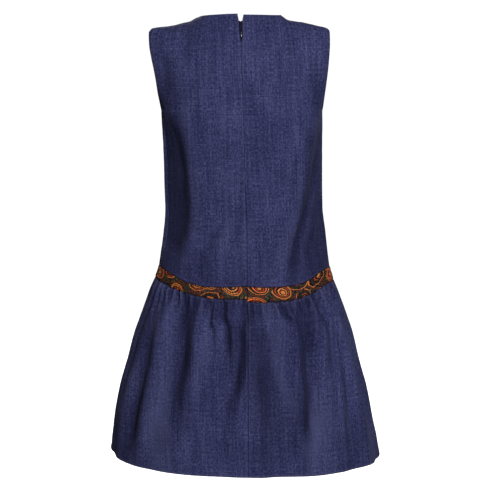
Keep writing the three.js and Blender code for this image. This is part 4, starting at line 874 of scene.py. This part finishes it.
def rods(name, centres, tangents, ups, long, thick, sides=6, rings_=5):
    """Many little round-ended rods as one mesh: stitches and zip teeth. Sizes in mm."""
    ts = np.linspace(-1, 1, rings_)
    prof = np.sqrt(np.maximum(1 - np.abs(ts) ** 3.0, 0.0)) * 0.94 + 0.06
    ang = np.arange(sides) * 2 * math.pi / sides
    verts, quads, tris = [], [], []
    base = 0
    for c, t, u in zip(centres, tangents, ups):
        t = t / np.linalg.norm(t)
        s = np.cross(t, u)
        s /= np.linalg.norm(s)
        n = np.cross(s, t)
        for k in range(rings_):
            for a in ang:
                verts.append(c + t * (ts[k] * long / 2) + (s * math.cos(a) + n * math.sin(a)) * (prof[k] * thick / 2))
        for k in range(rings_ - 1):
            for j in range(sides):
                a0, a1 = base + k * sides + j, base + k * sides + (j + 1) % sides
                quads.append((a0, a1, a1 + sides, a0 + sides))
        verts.append(c - t * (long / 2 + thick * 0.05))
        verts.append(c + t * (long / 2 + thick * 0.05))
        e0 = base + rings_ * sides
        for j in range(sides):
            tris.append((base + (j + 1) % sides, base + j, e0))
            tris.append((base + (rings_ - 1) * sides + j, base + (rings_ - 1) * sides + (j + 1) % sides, e0 + 1))
        base = len(verts)
    me = bpy.data.meshes.new(name)
    me.from_pydata((np.array(verts) * MM).tolist(), [], quads + tris)
    me.polygons.foreach_set("use_smooth", np.ones(len(me.polygons), bool))
    me.validate()
    me.update()
    ob = bpy.data.objects.new(name, me)
    bpy.context.scene.collection.objects.link(ob)
    bm = bmesh.new()
    bm.from_mesh(me)
    bmesh.ops.recalc_face_normals(bm, faces=bm.faces)
    bm.to_mesh(me)
    bm.free()
    return ob


# ---------------------------------------------------------------- materials
class Look:
    def __init__(self, name):
        self.mat = bpy.data.materials.new(name)
        self.mat.use_nodes = True
        self.nt = self.mat.node_tree
        self.nt.nodes.clear()
        self.out = self.nt.nodes.new("ShaderNodeOutputMaterial")
        self.bsdf = self.nt.nodes.new("ShaderNodeBsdfPrincipled")
        self.nt.links.new(self.bsdf.outputs[0], self.out.inputs["Surface"])

    def node(self, kind, **props):
        n = self.nt.nodes.new(kind)
        for k, v in props.items():
            setattr(n, k, v)
        return n

    def put(self, socket, value):
        if isinstance(value, bpy.types.NodeSocket):
            self.nt.links.new(value, socket)
        elif value is not None:
            socket.default_value = value

    def math(self, op, a, b=None, c=None, clamp=False):
        n = self.node("ShaderNodeMath", operation=op, use_clamp=clamp)
        for i, v in enumerate((a, b, c)):
            self.put(n.inputs[i], v)
        return n.outputs[0]

    def vec(self, op, a, b=None, scale=None):
        n = self.node("ShaderNodeVectorMath", operation=op)
        self.put(n.inputs[0], a)
        if b is not None:
            self.put(n.inputs[1], b)
        if scale is not None:
            self.put(n.inputs["Scale"], scale)
        return n.outputs["Value"] if op in ("LENGTH", "DOT_PRODUCT") else n.outputs["Vector"]

    def xyz(self, x, y, z=0.0):
        n = self.node("ShaderNodeCombineXYZ")
        for i, v in enumerate((x, y, z)):
            self.put(n.inputs[i], v)
        return n.outputs[0]

    def split(self, v):
        n = self.node("ShaderNodeSeparateXYZ")
        self.put(n.inputs[0], v)
        return n.outputs[0], n.outputs[1], n.outputs[2]

    def attr(self, name):
        return self.node("ShaderNodeAttribute", attribute_name=name).outputs["Vector"]

    def noise(self, v, scale=1.0, detail=2.0, rough=0.5, dims="3D"):
        n = self.node("ShaderNodeTexNoise", noise_dimensions=dims)
        self.put(n.inputs["Vector"], v)
        n.inputs["Scale"].default_value = scale
        n.inputs["Detail"].default_value = detail
        n.inputs["Roughness"].default_value = rough
        return n.outputs[0]

    def mix(self, f, a, b, blend="MIX"):
        n = self.node("ShaderNodeMix", data_type="RGBA", blend_type=blend)
        self.put(n.inputs[0], f)
        self.put(n.inputs[6], a)
        self.put(n.inputs[7], b)
        return n.outputs[2]

    def ramp(self, f, stops, kind="LINEAR"):
        n = self.node("ShaderNodeValToRGB")
        n.color_ramp.interpolation = kind
        while len(n.color_ramp.elements) < len(stops):
            n.color_ramp.elements.new(0.5)
        for e, (p, c) in zip(n.color_ramp.elements, stops):
            e.position = p
            e.color = (*c, 1.0) if len(c) == 3 else c
        self.put(n.inputs[0], f)
        return n.outputs[0]

    def bump(self, height, strength, distance, normal=None):
        n = self.node("ShaderNodeBump")
        n.inputs["Strength"].default_value = strength
        n.inputs["Distance"].default_value = distance
        self.put(n.inputs["Height"], height)
        if normal is not None:
            self.put(n.inputs["Normal"], normal)
        return n.outputs[0]

    def near(self, d, at, wide):
        """1 on a line at that distance, falling to 0 over its width."""
        x = self.math("DIVIDE", self.math("SUBTRACT", d, at), wide)
        return self.math("SUBTRACT", 1.0, self.math("MULTIPLY", x, x), clamp=True)


def denim_look(name):
    k = Look(name)
    u, v, inner = k.split(k.attr("cloth"))
    hem, seam, turned = k.split(k.attr("edge"))

    def streak(su, sv, seed, detail=2.0):
        p = k.xyz(k.math("MULTIPLY", u, su), k.math("MULTIPLY", v, sv), k.math("ADD", inner, seed))
        return k.math("SUBTRACT", k.noise(p, 1.0, detail), 0.5)
    parts = [
        (streak(430, 16, 1.0), 0.62), (streak(150, 8, 3.0), 0.50), (streak(26, 420, 5.0), 0.55),
        (streak(14, 9, 7.0), 0.60), (streak(330, 210, 9.0), 1.35), (streak(1250, 800, 11.0, 1.0), 1.15),
    ]
    tone = 0.5
    for s, w in parts:
        tone = k.math("MULTIPLY_ADD", s, w, tone)
    # the twill's fine diagonal
    diag = k.math("ADD", k.math("MULTIPLY", u, 6000.0), k.math("MULTIPLY", v, 4300.0))
    twill = k.math("SINE", diag)
    tone = k.math("MULTIPLY_ADD", twill, 0.05, tone)
    # slubs: now and then a thicker thread
    slub = k.noise(k.xyz(k.math("MULTIPLY", u, 900.0), k.math("MULTIPLY", v, 42.0), 21.0), 1.0, 1.0)
    slub = k.math("MULTIPLY", k.math("SUBTRACT", slub, 0.66, clamp=True), 2.2)
    tone = k.math("ADD", tone, slub)
    weft = k.noise(k.xyz(k.math("MULTIPLY", u, 60.0), k.math("MULTIPLY", v, 1000.0), 31.0), 1.0, 1.0)
    weft = k.math("MULTIPLY", k.math("SUBTRACT", weft, 0.68, clamp=True), 1.6)
    tone = k.math("ADD", tone, weft, clamp=True)
    colour = k.ramp(tone, [(0.0, (0.0085, 0.0095, 0.040)), (0.5, (0.0340, 0.0365, 0.110)), (1.0, (0.088, 0.093, 0.218))])
    back = k.ramp(tone, [(0.0, (0.050, 0.054, 0.105)), (1.0, (0.120, 0.126, 0.215))])
    colour = k.mix(inner, colour, back)
    # painted shade darkens the folds and creases, painted light lightens the ridges and puffs
    painted_shading, lit, _ = k.split(k.attr("painted_shading"))
    colour = k.mix(k.math("MULTIPLY", painted_shading, 0.60, clamp=True), colour, (0.0040, 0.0045, 0.020, 1))
    colour = k.mix(k.math("MULTIPLY", lit, 0.42, clamp=True), colour, (0.088, 0.094, 0.200, 1))
    dark = k.math("MULTIPLY", k.near(seam, 0.0, 0.0016), 0.45)
    dark = k.math("MAXIMUM", dark, k.math("MULTIPLY", k.near(hem, 0.043, 0.0012), 0.16))
    colour = k.mix(dark, colour, (0.012, 0.013, 0.036, 1))
    wear = k.math("MULTIPLY", k.near(hem, 0.0032, 0.0016), 0.30)
    wear = k.math("MAXIMUM", wear, k.math("MULTIPLY", k.near(hem, 0.0415, 0.0012), 0.10))
    wear = k.math("MAXIMUM", wear, k.math("MULTIPLY", k.near(turned, 0.0016, 0.0016), 0.18))
    wear = k.math("MAXIMUM", wear, k.math("MULTIPLY", k.near(seam, 0.0032, 0.0016), 0.14))
    colour = k.mix(wear, colour, (0.085, 0.090, 0.185, 1))
    k.put(k.bsdf.inputs["Base Color"], colour)
    rough = k.math("MULTIPLY_ADD", tone, 0.10, 0.78)
    k.put(k.bsdf.inputs["Roughness"], rough)
    k.bsdf.inputs["Specular IOR Level"].default_value = 0.07
    k.bsdf.inputs["Sheen Weight"].default_value = 0.03
    k.bsdf.inputs["Sheen Roughness"].default_value = 0.45
    k.bsdf.inputs["Sheen Tint"].default_value = (0.70, 0.74, 1.0, 1)
    height = k.math("MULTIPLY_ADD", twill, 0.5, k.math("MULTIPLY", tone, 2.2))
    n = k.bump(height, 0.5, 0.00016)
    puck = k.noise(k.xyz(k.math("MULTIPLY", u, 150.0), k.math("MULTIPLY", v, 95.0), 41.0), 1.0, 3.0, 0.55)
    n = k.bump(puck, 0.55, 0.0009, n)
    k.put(k.bsdf.inputs["Normal"], n)
    return k.mat


def print_look(name):
    """A dark ground with swirled, feathered drops in orange and ochre: a general design."""
    k = Look(name)
    cloth = k.attr("cloth")
    u, v, inner = k.split(cloth)
    flat = k.xyz(u, v, 0.0)
    wob = k.node("ShaderNodeTexNoise", noise_dimensions="2D")
    k.put(wob.inputs["Vector"], flat)
    wob.inputs["Scale"].default_value = 70.0
    wob.inputs["Detail"].default_value = 1.5
    shift = k.vec("SCALE", k.vec("SUBTRACT", wob.outputs["Color"], (0.5, 0.5, 0.5)), scale=0.0035)
    p = k.vec("ADD", flat, shift)
    q = k.vec("MULTIPLY", p, (23.0, 30.0, 1.0))
    vor = k.node("ShaderNodeTexVoronoi", voronoi_dimensions="2D", feature="F1")
    k.put(vor.inputs["Vector"], q)
    vor.inputs["Scale"].default_value = 1.0
    vor.inputs["Randomness"].default_value = 0.70
    cr, cg, cb = k.split(vor.outputs["Color"])
    d = k.vec("SUBTRACT", q, vor.outputs["Position"])
    rot = k.node("ShaderNodeVectorRotate", rotation_type="Z_AXIS")
    k.put(rot.inputs["Vector"], d)
    k.put(rot.inputs["Angle"], k.math("MULTIPLY", cr, 6.283))
    x, y, _ = k.split(rot.outputs[0])
    y = k.math("MULTIPLY", y, 1.42)
    r = k.math("SQRT", k.math("ADD", k.math("MULTIPLY", x, x), k.math("MULTIPLY", y, y)))
    th = k.math("ARCTAN2", y, x)
    egg = k.math("MULTIPLY_ADD", k.math("COSINE", th), 0.27, 1.0)
    fringe = k.math("MULTIPLY", k.math("SINE", k.math("MULTIPLY", th, 19.0)), 0.004)
    rr = k.math("ADD", k.math("MULTIPLY", r, egg), fringe)
    turn = k.math("MULTIPLY", k.math("DIVIDE", th, 6.2832), k.math("GREATER_THAN", cg, 0.45))
    rings_ = k.math("ADD", k.math("MULTIPLY", rr, 8.2), k.math("ADD", turn, 8.0))
    ring_no = k.math("FLOOR", rings_)
    part = k.math("FRACT", rings_)
    seed = k.node("ShaderNodeTexWhiteNoise", noise_dimensions="2D")
    k.put(seed.inputs["Vector"], k.xyz(ring_no, k.math("MULTIPLY", cb, 17.0), 0.0))
    inks = [(0.0, (0.36, 0.038, 0.005)), (0.15, (0.98, 0.185, 0.030)), (0.38, (0.008, 0.007, 0.006)), (0.56, (0.46, 0.16, 0.020)),
            (0.66, (1.0, 0.320, 0.070)), (0.79, (0.42, 0.055, 0.008)), (0.88, (0.012, 0.013, 0.009))]
    ink = k.ramp(seed.outputs["Value"], inks, "CONSTANT")
    tint = k.math("MULTIPLY", k.math("SUBTRACT", k.noise(flat, 420.0, 2.0, 0.6), 0.5), 0.9)
    ink = k.mix(k.math("ADD", 0.02, tint, clamp=True), ink, (0.86, 0.40, 0.19, 1))
    tick = k.math("FRACT", k.math("ADD", k.math("MULTIPLY", th, 3.2), k.math("MULTIPLY", part, 0.9)))
    tick = k.math("MULTIPLY", k.math("LESS_THAN", tick, 0.34), k.math("GREATER_THAN", seed.outputs["Value"], 0.66))
    line = k.math("MAXIMUM", k.math("LESS_THAN", part, 0.53), tick)
    ink = k.mix(line, ink, (0.008, 0.006, 0.009, 1))
    core = k.math("LESS_THAN", rr, 0.10)
    ink = k.mix(core, ink, (0.63, 0.22, 0.045, 1))
    # between the drops: fine feather lines on the dark ground
    comb = k.noise(k.vec("MULTIPLY", p, (46.0, 60.0, 1.0)), 1.0, 1.0, 0.5, dims="2D")
    comb = k.math("FRACT", k.math("MULTIPLY", comb, 13.0))
    vein = k.math("LESS_THAN", comb, 0.30)
    hue = k.noise(p, 52.0, 0.0)
    veins = k.ramp(hue, [(0.0, (0.20, 0.110, 0.022)), (0.48, (0.34, 0.060, 0.014)), (0.56, (0.12, 0.105, 0.035)), (1.0, (0.30, 0.19, 0.06))])
    ground = k.mix(k.math("MULTIPLY", vein, 0.62), (0.008, 0.008, 0.011, 1), veins)
    inside = k.math("LESS_THAN", rr, 0.46)
    rim = k.math("MULTIPLY", k.math("LESS_THAN", rr, 0.50), k.math("GREATER_THAN", rr, 0.46))
    colour = k.mix(inside, ground, ink)
    colour = k.mix(rim, colour, (0.66, 0.20, 0.040, 1))
    weave = k.math("MULTIPLY", k.math("SINE", k.math("MULTIPLY", u, 12500.0)), k.math("SINE", k.math("MULTIPLY", v, 12500.0)))
    grain = k.noise(flat, 900.0, 2.0, 0.6)
    colour = k.mix(k.math("MULTIPLY", grain, 0.24), colour, (0.014, 0.009, 0.007, 1))
    _, seam, _ = k.split(k.attr("edge"))
    colour = k.mix(k.math("MULTIPLY", k.near(seam, 0.0, 0.0018), 0.75), colour, (0.008, 0.007, 0.007, 1))
    colour = k.mix(k.math("MULTIPLY", inner, 0.7), colour, (0.075, 0.055, 0.04, 1))
    k.put(k.bsdf.inputs["Base Color"], colour)
    k.bsdf.inputs["Roughness"].default_value = 0.66
    k.bsdf.inputs["Specular IOR Level"].default_value = 0.12
    k.bsdf.inputs["Sheen Weight"].default_value = 0.02
    n = k.bump(weave, 0.30, 0.00010)
    puck = k.noise(k.xyz(k.math("MULTIPLY", u, 260.0), k.math("MULTIPLY", v, 120.0), 3.0), 1.0, 2.0, 0.5)
    n = k.bump(puck, 0.5, 0.0009, n)
    k.put(k.bsdf.inputs["Normal"], n)
    return k.mat


def tape_look(name):
    k = Look(name)
    co = k.node("ShaderNodeTexCoord").outputs["Object"]
    x, y, z = k.split(co)
    rib = k.math("SINE", k.math("MULTIPLY", z, 9000.0))
    n1 = k.noise(co, 900.0, 2.0)
    k.put(k.bsdf.inputs["Base Color"], k.ramp(n1, [(0.3, (0.004, 0.004, 0.014)), (0.7, (0.013, 0.014, 0.036))]))
    k.put(k.bsdf.inputs["Roughness"], k.math("MULTIPLY_ADD", n1, 0.2, 0.65))
    k.bsdf.inputs["Specular IOR Level"].default_value = 0.1
    k.put(k.bsdf.inputs["Normal"], k.bump(k.math("ADD", rib, n1), 0.5, 0.00012))
    return k.mat


def metal_look(name, pale=False):
    k = Look(name)
    co = k.node("ShaderNodeTexCoord").outputs["Object"]
    n1 = k.noise(co, 700.0, 3.0)
    n2 = k.noise(co, 2600.0, 2.0)
    k.put(k.bsdf.inputs["Base Color"], k.ramp(n1, [(0.3, (0.46, 0.49, 0.56)), (0.75, (0.62, 0.66, 0.74))] if pale else [(0.3, (0.040, 0.042, 0.065)), (0.75, (0.068, 0.070, 0.100))]))
    k.bsdf.inputs["Metallic"].default_value = 0.92
    k.put(k.bsdf.inputs["Roughness"], k.math("MULTIPLY_ADD", n2, 0.10, 0.36 if pale else 0.17))
    k.bsdf.inputs["Coat Weight"].default_value = 0.35
    k.bsdf.inputs["Coat Roughness"].default_value = 0.12
    k.put(k.bsdf.inputs["Normal"], k.bump(n2, 0.08, 0.00006))
    return k.mat


def thread_look(name):
    k = Look(name)
    co = k.node("ShaderNodeTexCoord").outputs["Object"]
    n1 = k.noise(co, 1500.0, 2.0)
    k.put(k.bsdf.inputs["Base Color"], k.ramp(n1, [(0.3, (0.016, 0.018, 0.050)), (0.7, (0.036, 0.039, 0.098))]))
    k.bsdf.inputs["Roughness"].default_value = 0.6
    k.put(k.bsdf.inputs["Normal"], k.bump(n1, 0.5, 0.00008))
    return k.mat


def coil_look(name):
    k = Look(name)
    co = k.node("ShaderNodeTexCoord").outputs["Object"]
    n1 = k.noise(co, 1200.0, 2.0)
    k.put(k.bsdf.inputs["Base Color"], k.ramp(n1, [(0.3, (0.004, 0.004, 0.014)), (0.7, (0.013, 0.014, 0.036))]))
    k.bsdf.inputs["Roughness"].default_value = 0.5
    k.bsdf.inputs["Specular IOR Level"].default_value = 0.15
    k.put(k.bsdf.inputs["Normal"], k.bump(n1, 0.2, 0.00005))
    return k.mat


DENIM = denim_look("denim")
PRINT = print_look("printed_band")
TAPE = tape_look("zip_tape")
METAL = metal_look("zip_metal")
# a pale metal that paints a highlight on the dome of the pull tab
HIGHLIGHT_METAL = metal_look("zip_metal_painted_highlight", pale=True)
THREAD = thread_look("thread")
COIL = coil_look("zip_coil")


def dress_up(ob, mat, body="dress", node=None):
    ob.data.materials.clear()
    ob.data.materials.append(mat)
    if node:
        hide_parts(node)
    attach(ob, body)
    return ob


# ---------------------------------------------------------------- the cloth
front, front_grid = bodice_piece("front_bodice", "front")
back_left, left_grid = bodice_piece("back_bodice_left", "back", 1)
back_right, right_grid = bodice_piece("back_bodice_right", "back", -1)
for ob, node in ((front, "bodice_front"), (back_left, "bodice_back_left"), (back_right, "bodice_back_right")):
    dress_up(ob, DENIM, node=node)

for word, face, side in (("front", "front", 0), ("back_left", "back", 1), ("back_right", "back", -1)):
    ob, _ = band_piece("waist_band_" + word, face, side)
    dress_up(ob, PRINT, node="band_" + word)

skirts, hem_lines = {}, []
for word, face, side in (("front", "front", 0), ("back_left", "back", 1), ("back_right", "back", -1)):
    ob, grid, from_hem = skirt_piece("gathered_skirt_" + word, face, side)
    skirts[word] = dress_up(ob, DENIM, node="skirt_" + word)
    N, _ = grid_normals(grid, None)
    if (N[..., 1] * grid[..., 1]).mean() < 0:
        N = -N
    line, nrm = [], []
    for j in range(grid.shape[1]):
        d = from_hem[::-1, j]
        line.append([np.interp(42.6, d, grid[::-1, j, c]) for c in range(3)])
        nrm.append([np.interp(42.6, d, N[::-1, j, c]) for c in range(3)])
    hem_lines.append((np.array(line), np.array(nrm)))

# the hem's stitches, in thread of the cloth's own colour
centres, tangents, ups = [], [], []
for line, nrm in hem_lines:
    pts = resample(line, 3.3)
    both = resample(line, 3.3)
    seg = np.linalg.norm(np.diff(line, axis=0), axis=1)
    at = np.concatenate([[0], np.cumsum(seg)])
    want = np.arange(3.3 / 2, at[-1], 3.3)[: len(pts)]
    nn = np.stack([np.interp(want, at, nrm[:, c]) for c in range(3)], -1)
    tan = np.gradient(pts, axis=0)
    for p, t, n in zip(pts, tan, nn):
        n = n / np.linalg.norm(n)
        centres.append(p + n * 0.05)
        tangents.append(t)
        ups.append(n)
stitches = rods("hem_stitches", centres, tangents, ups, 2.5, 0.42)
dress_up(stitches, THREAD)

# ---------------------------------------------------------------- the zip
for node in ("zip_tape_left", "zip_tape_right"):
    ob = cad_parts[node]
    ob.data.materials.clear()
    ob.data.materials.append(TAPE)


def bevelled(node, name, width, mat, body, boss=None):
    """The same metal piece with its edges rounded."""
    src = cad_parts[node]
    bm = bmesh.new()
    bm.from_mesh(src.data)
    bmesh.ops.remove_doubles(bm, verts=bm.verts, dist=2e-6)
    bmesh.ops.dissolve_limit(bm, angle_limit=math.radians(2), verts=bm.verts, edges=bm.edges)
    bmesh.ops.recalc_face_normals(bm, faces=bm.faces)
    sharp = [e for e in bm.edges if len(e.link_faces) == 2 and e.calc_face_angle(0) > math.radians(30)]
    bmesh.ops.bevel(bm, geom=sharp, offset=width, offset_type="OFFSET", segments=3, profile=0.5, affect="EDGES", clamp_overlap=True)
    for f in bm.faces:
        f.smooth = True
    me = bpy.data.meshes.new(name)
    bmesh.ops.triangulate(bm, faces=[f for f in bm.faces if len(f.verts) > 4])
    plain = len(bm.faces)
    if boss:
        pts = np.array([v.co for v in bm.verts])
        mid = (pts.max(0) + pts.min(0)) / 2
        axes = np.linalg.svd(pts - pts.mean(0), full_matrices=False)[2]
        axes[2] *= 1 if axes[2][1] > 0 else -1
        face_at = mid + axes[2] * ((pts - mid) @ axes[2]).max() - axes[0] * boss[3] * (1 if axes[0][2] > 0 else -1)
        ball = bmesh.ops.create_uvsphere(bm, u_segments=28, v_segments=20, radius=1.0)["verts"]
        for f in {f for v in ball for f in v.link_faces}:
            f.material_index = 1
        for v in ball:
            a = np.array(v.co)
            v.co = face_at + axes[1] * a[0] * boss[0] + axes[2] * a[1] * boss[1] + axes[0] * a[2] * boss[2]
        bmesh.ops.recalc_face_normals(bm, faces=bm.faces)
        for f in bm.faces:
            f.smooth = True
    bm.to_mesh(me)
    bm.free()
    ob = bpy.data.objects.new(name, me)
    bpy.context.scene.collection.objects.link(ob)
    mod = ob.modifiers.new("weights", "WEIGHTED_NORMAL")
    mod.keep_sharp = True
    dress_up(ob, mat, body=body, node=node)
    # the dome on the tab takes the pale metal: a painted highlight
    if boss:
        ob.data.materials.append(HIGHLIGHT_METAL)
        for f in ob.data.polygons:
            f.material_index = int(np.linalg.norm(f.center - Vector(face_at)) < 0.9 * boss[2] and f.index >= plain)
    return ob


slider = bevelled("zip_slider", "slider", 0.00022, METAL, "dress")
tab = bevelled("zip_pull_tab", "pull_tab_plate", 0.00034, METAL, "pull_tab", boss=(0.00105, 0.00070, 0.0032, 0.0))

# coil teeth along the inner edge of each tape, where the zip is open above the slider
centres, tangents, ups = [], [], []
for side, grid in ((1, left_grid), (-1, right_grid)):
    col = grid[:, 0, :]
    order = np.argsort(col[:, 2])
    zs = np.arange(-64.0, -12.9, 1.12) + (0.28 if side > 0 else -0.28)
    for z in zs:
        y = np.interp(z, col[order, 2], col[order, 1])
        y2 = np.interp(z + 1, col[order, 2], col[order, 1])
        along = np.array([0.0, y2 - y, 1.0])
        along /= np.linalg.norm(along)
        out = np.cross(np.array([1.0, 0, 0]), along)
        out = out if out[1] > 0 else -out
        gap = 0.66
        x = float(seam_x(z)) + side * gap
        centres.append(np.array([x, y, z]) - out * (1.35 + 1.2 * float(smooth((-40.0 - z) / 6.0))))
        tangents.append(np.array([1.0, 0, 0.18 * side]))
        ups.append(out)
coil = rods("zip_coil_teeth", centres, tangents, ups, 3.3, 0.92, sides=8)
dress_up(coil, COIL)

# ---------------------------------------------------------------- floor, light, camera
bpy.ops.mesh.primitive_plane_add(size=400, location=(0, 0, -1.40))
floor = bpy.context.object
floor.name = "floor"
fl = Look("floor")
fn = fl.noise(fl.node("ShaderNodeTexCoord").outputs["Object"], 3.0, 2.0)
fl.put(fl.bsdf.inputs["Base Color"], fl.ramp(fn, [(0.3, (0.90, 0.90, 0.90)), (0.7, (0.93, 0.93, 0.93))]))
fl.bsdf.inputs["Roughness"].default_value = 0.9
fl.bsdf.inputs["Emission Color"].default_value = (1, 1, 1, 1)
fl.bsdf.inputs["Emission Strength"].default_value = 1.0
floor.data.materials.append(fl.mat)
floor.visible_diffuse = False
floor.visible_glossy = False

world = bpy.data.worlds.new("studio")
bpy.context.scene.world = world
world.use_nodes = True
wn = world.node_tree
wn.nodes.clear()
wo = wn.nodes.new("ShaderNodeOutputWorld")
bg = wn.nodes.new("ShaderNodeBackground")
bg.inputs["Color"].default_value = (1, 1, 1, 1)
path = wn.nodes.new("ShaderNodeLightPath")
power = wn.nodes.new("ShaderNodeMapRange")
power.inputs["To Min"].default_value = 0.09
power.inputs["To Max"].default_value = 1.05
wn.links.new(path.outputs["Is Camera Ray"], power.inputs["Value"])
wn.links.new(power.outputs[0], bg.inputs["Strength"])
wn.links.new(bg.outputs[0], wo.inputs["Surface"])


def softbox(name, at, aim, size, watts, colour=(1, 1, 1)):
    data = bpy.data.lights.new(name, "AREA")
    data.shape = "RECTANGLE"
    data.size, data.size_y = size
    data.energy = watts
    data.color = colour
    ob = bpy.data.objects.new(name, data)
    ob.location = at
    ob.rotation_euler = (Vector(aim) - Vector(at)).to_track_quat("-Z", "Y").to_euler()
    bpy.context.scene.collection.objects.link(ob)
    return ob


softbox("key", (-0.78, 3.20, 1.05), (0, 0.05, -0.42), (0.8, 0.9), 117)
softbox("fill", (2.2, 2.6, 0.2), (0, 0, -0.45), (1.6, 1.8), 0.8)
softbox("front_key", (0.8, -3.4, 0.9), (0, 0, -0.42), (1.2, 1.4), 62)
softbox("front_fill", (-1.5, -3.1, 0.1), (0, 0, -0.45), (1.4, 1.6), 10)

cam_data = bpy.data.cameras.new("camera")
cam_data.sensor_width = 36.0
cam_data.lens = 36.0 * 1293.3 / 496.0
cam_data.clip_end = 100.0
camera = bpy.data.objects.new("camera", cam_data)
bpy.context.scene.collection.objects.link(camera)
camera.location = (-0.0156, 2.5, -0.1142)
camera.rotation_euler = (math.radians(90 - 7.565), 0, math.radians(180))
bpy.context.scene.camera = camera
bpy.context.scene.view_settings.view_transform = "Standard"

bpy.context.view_layer.update()
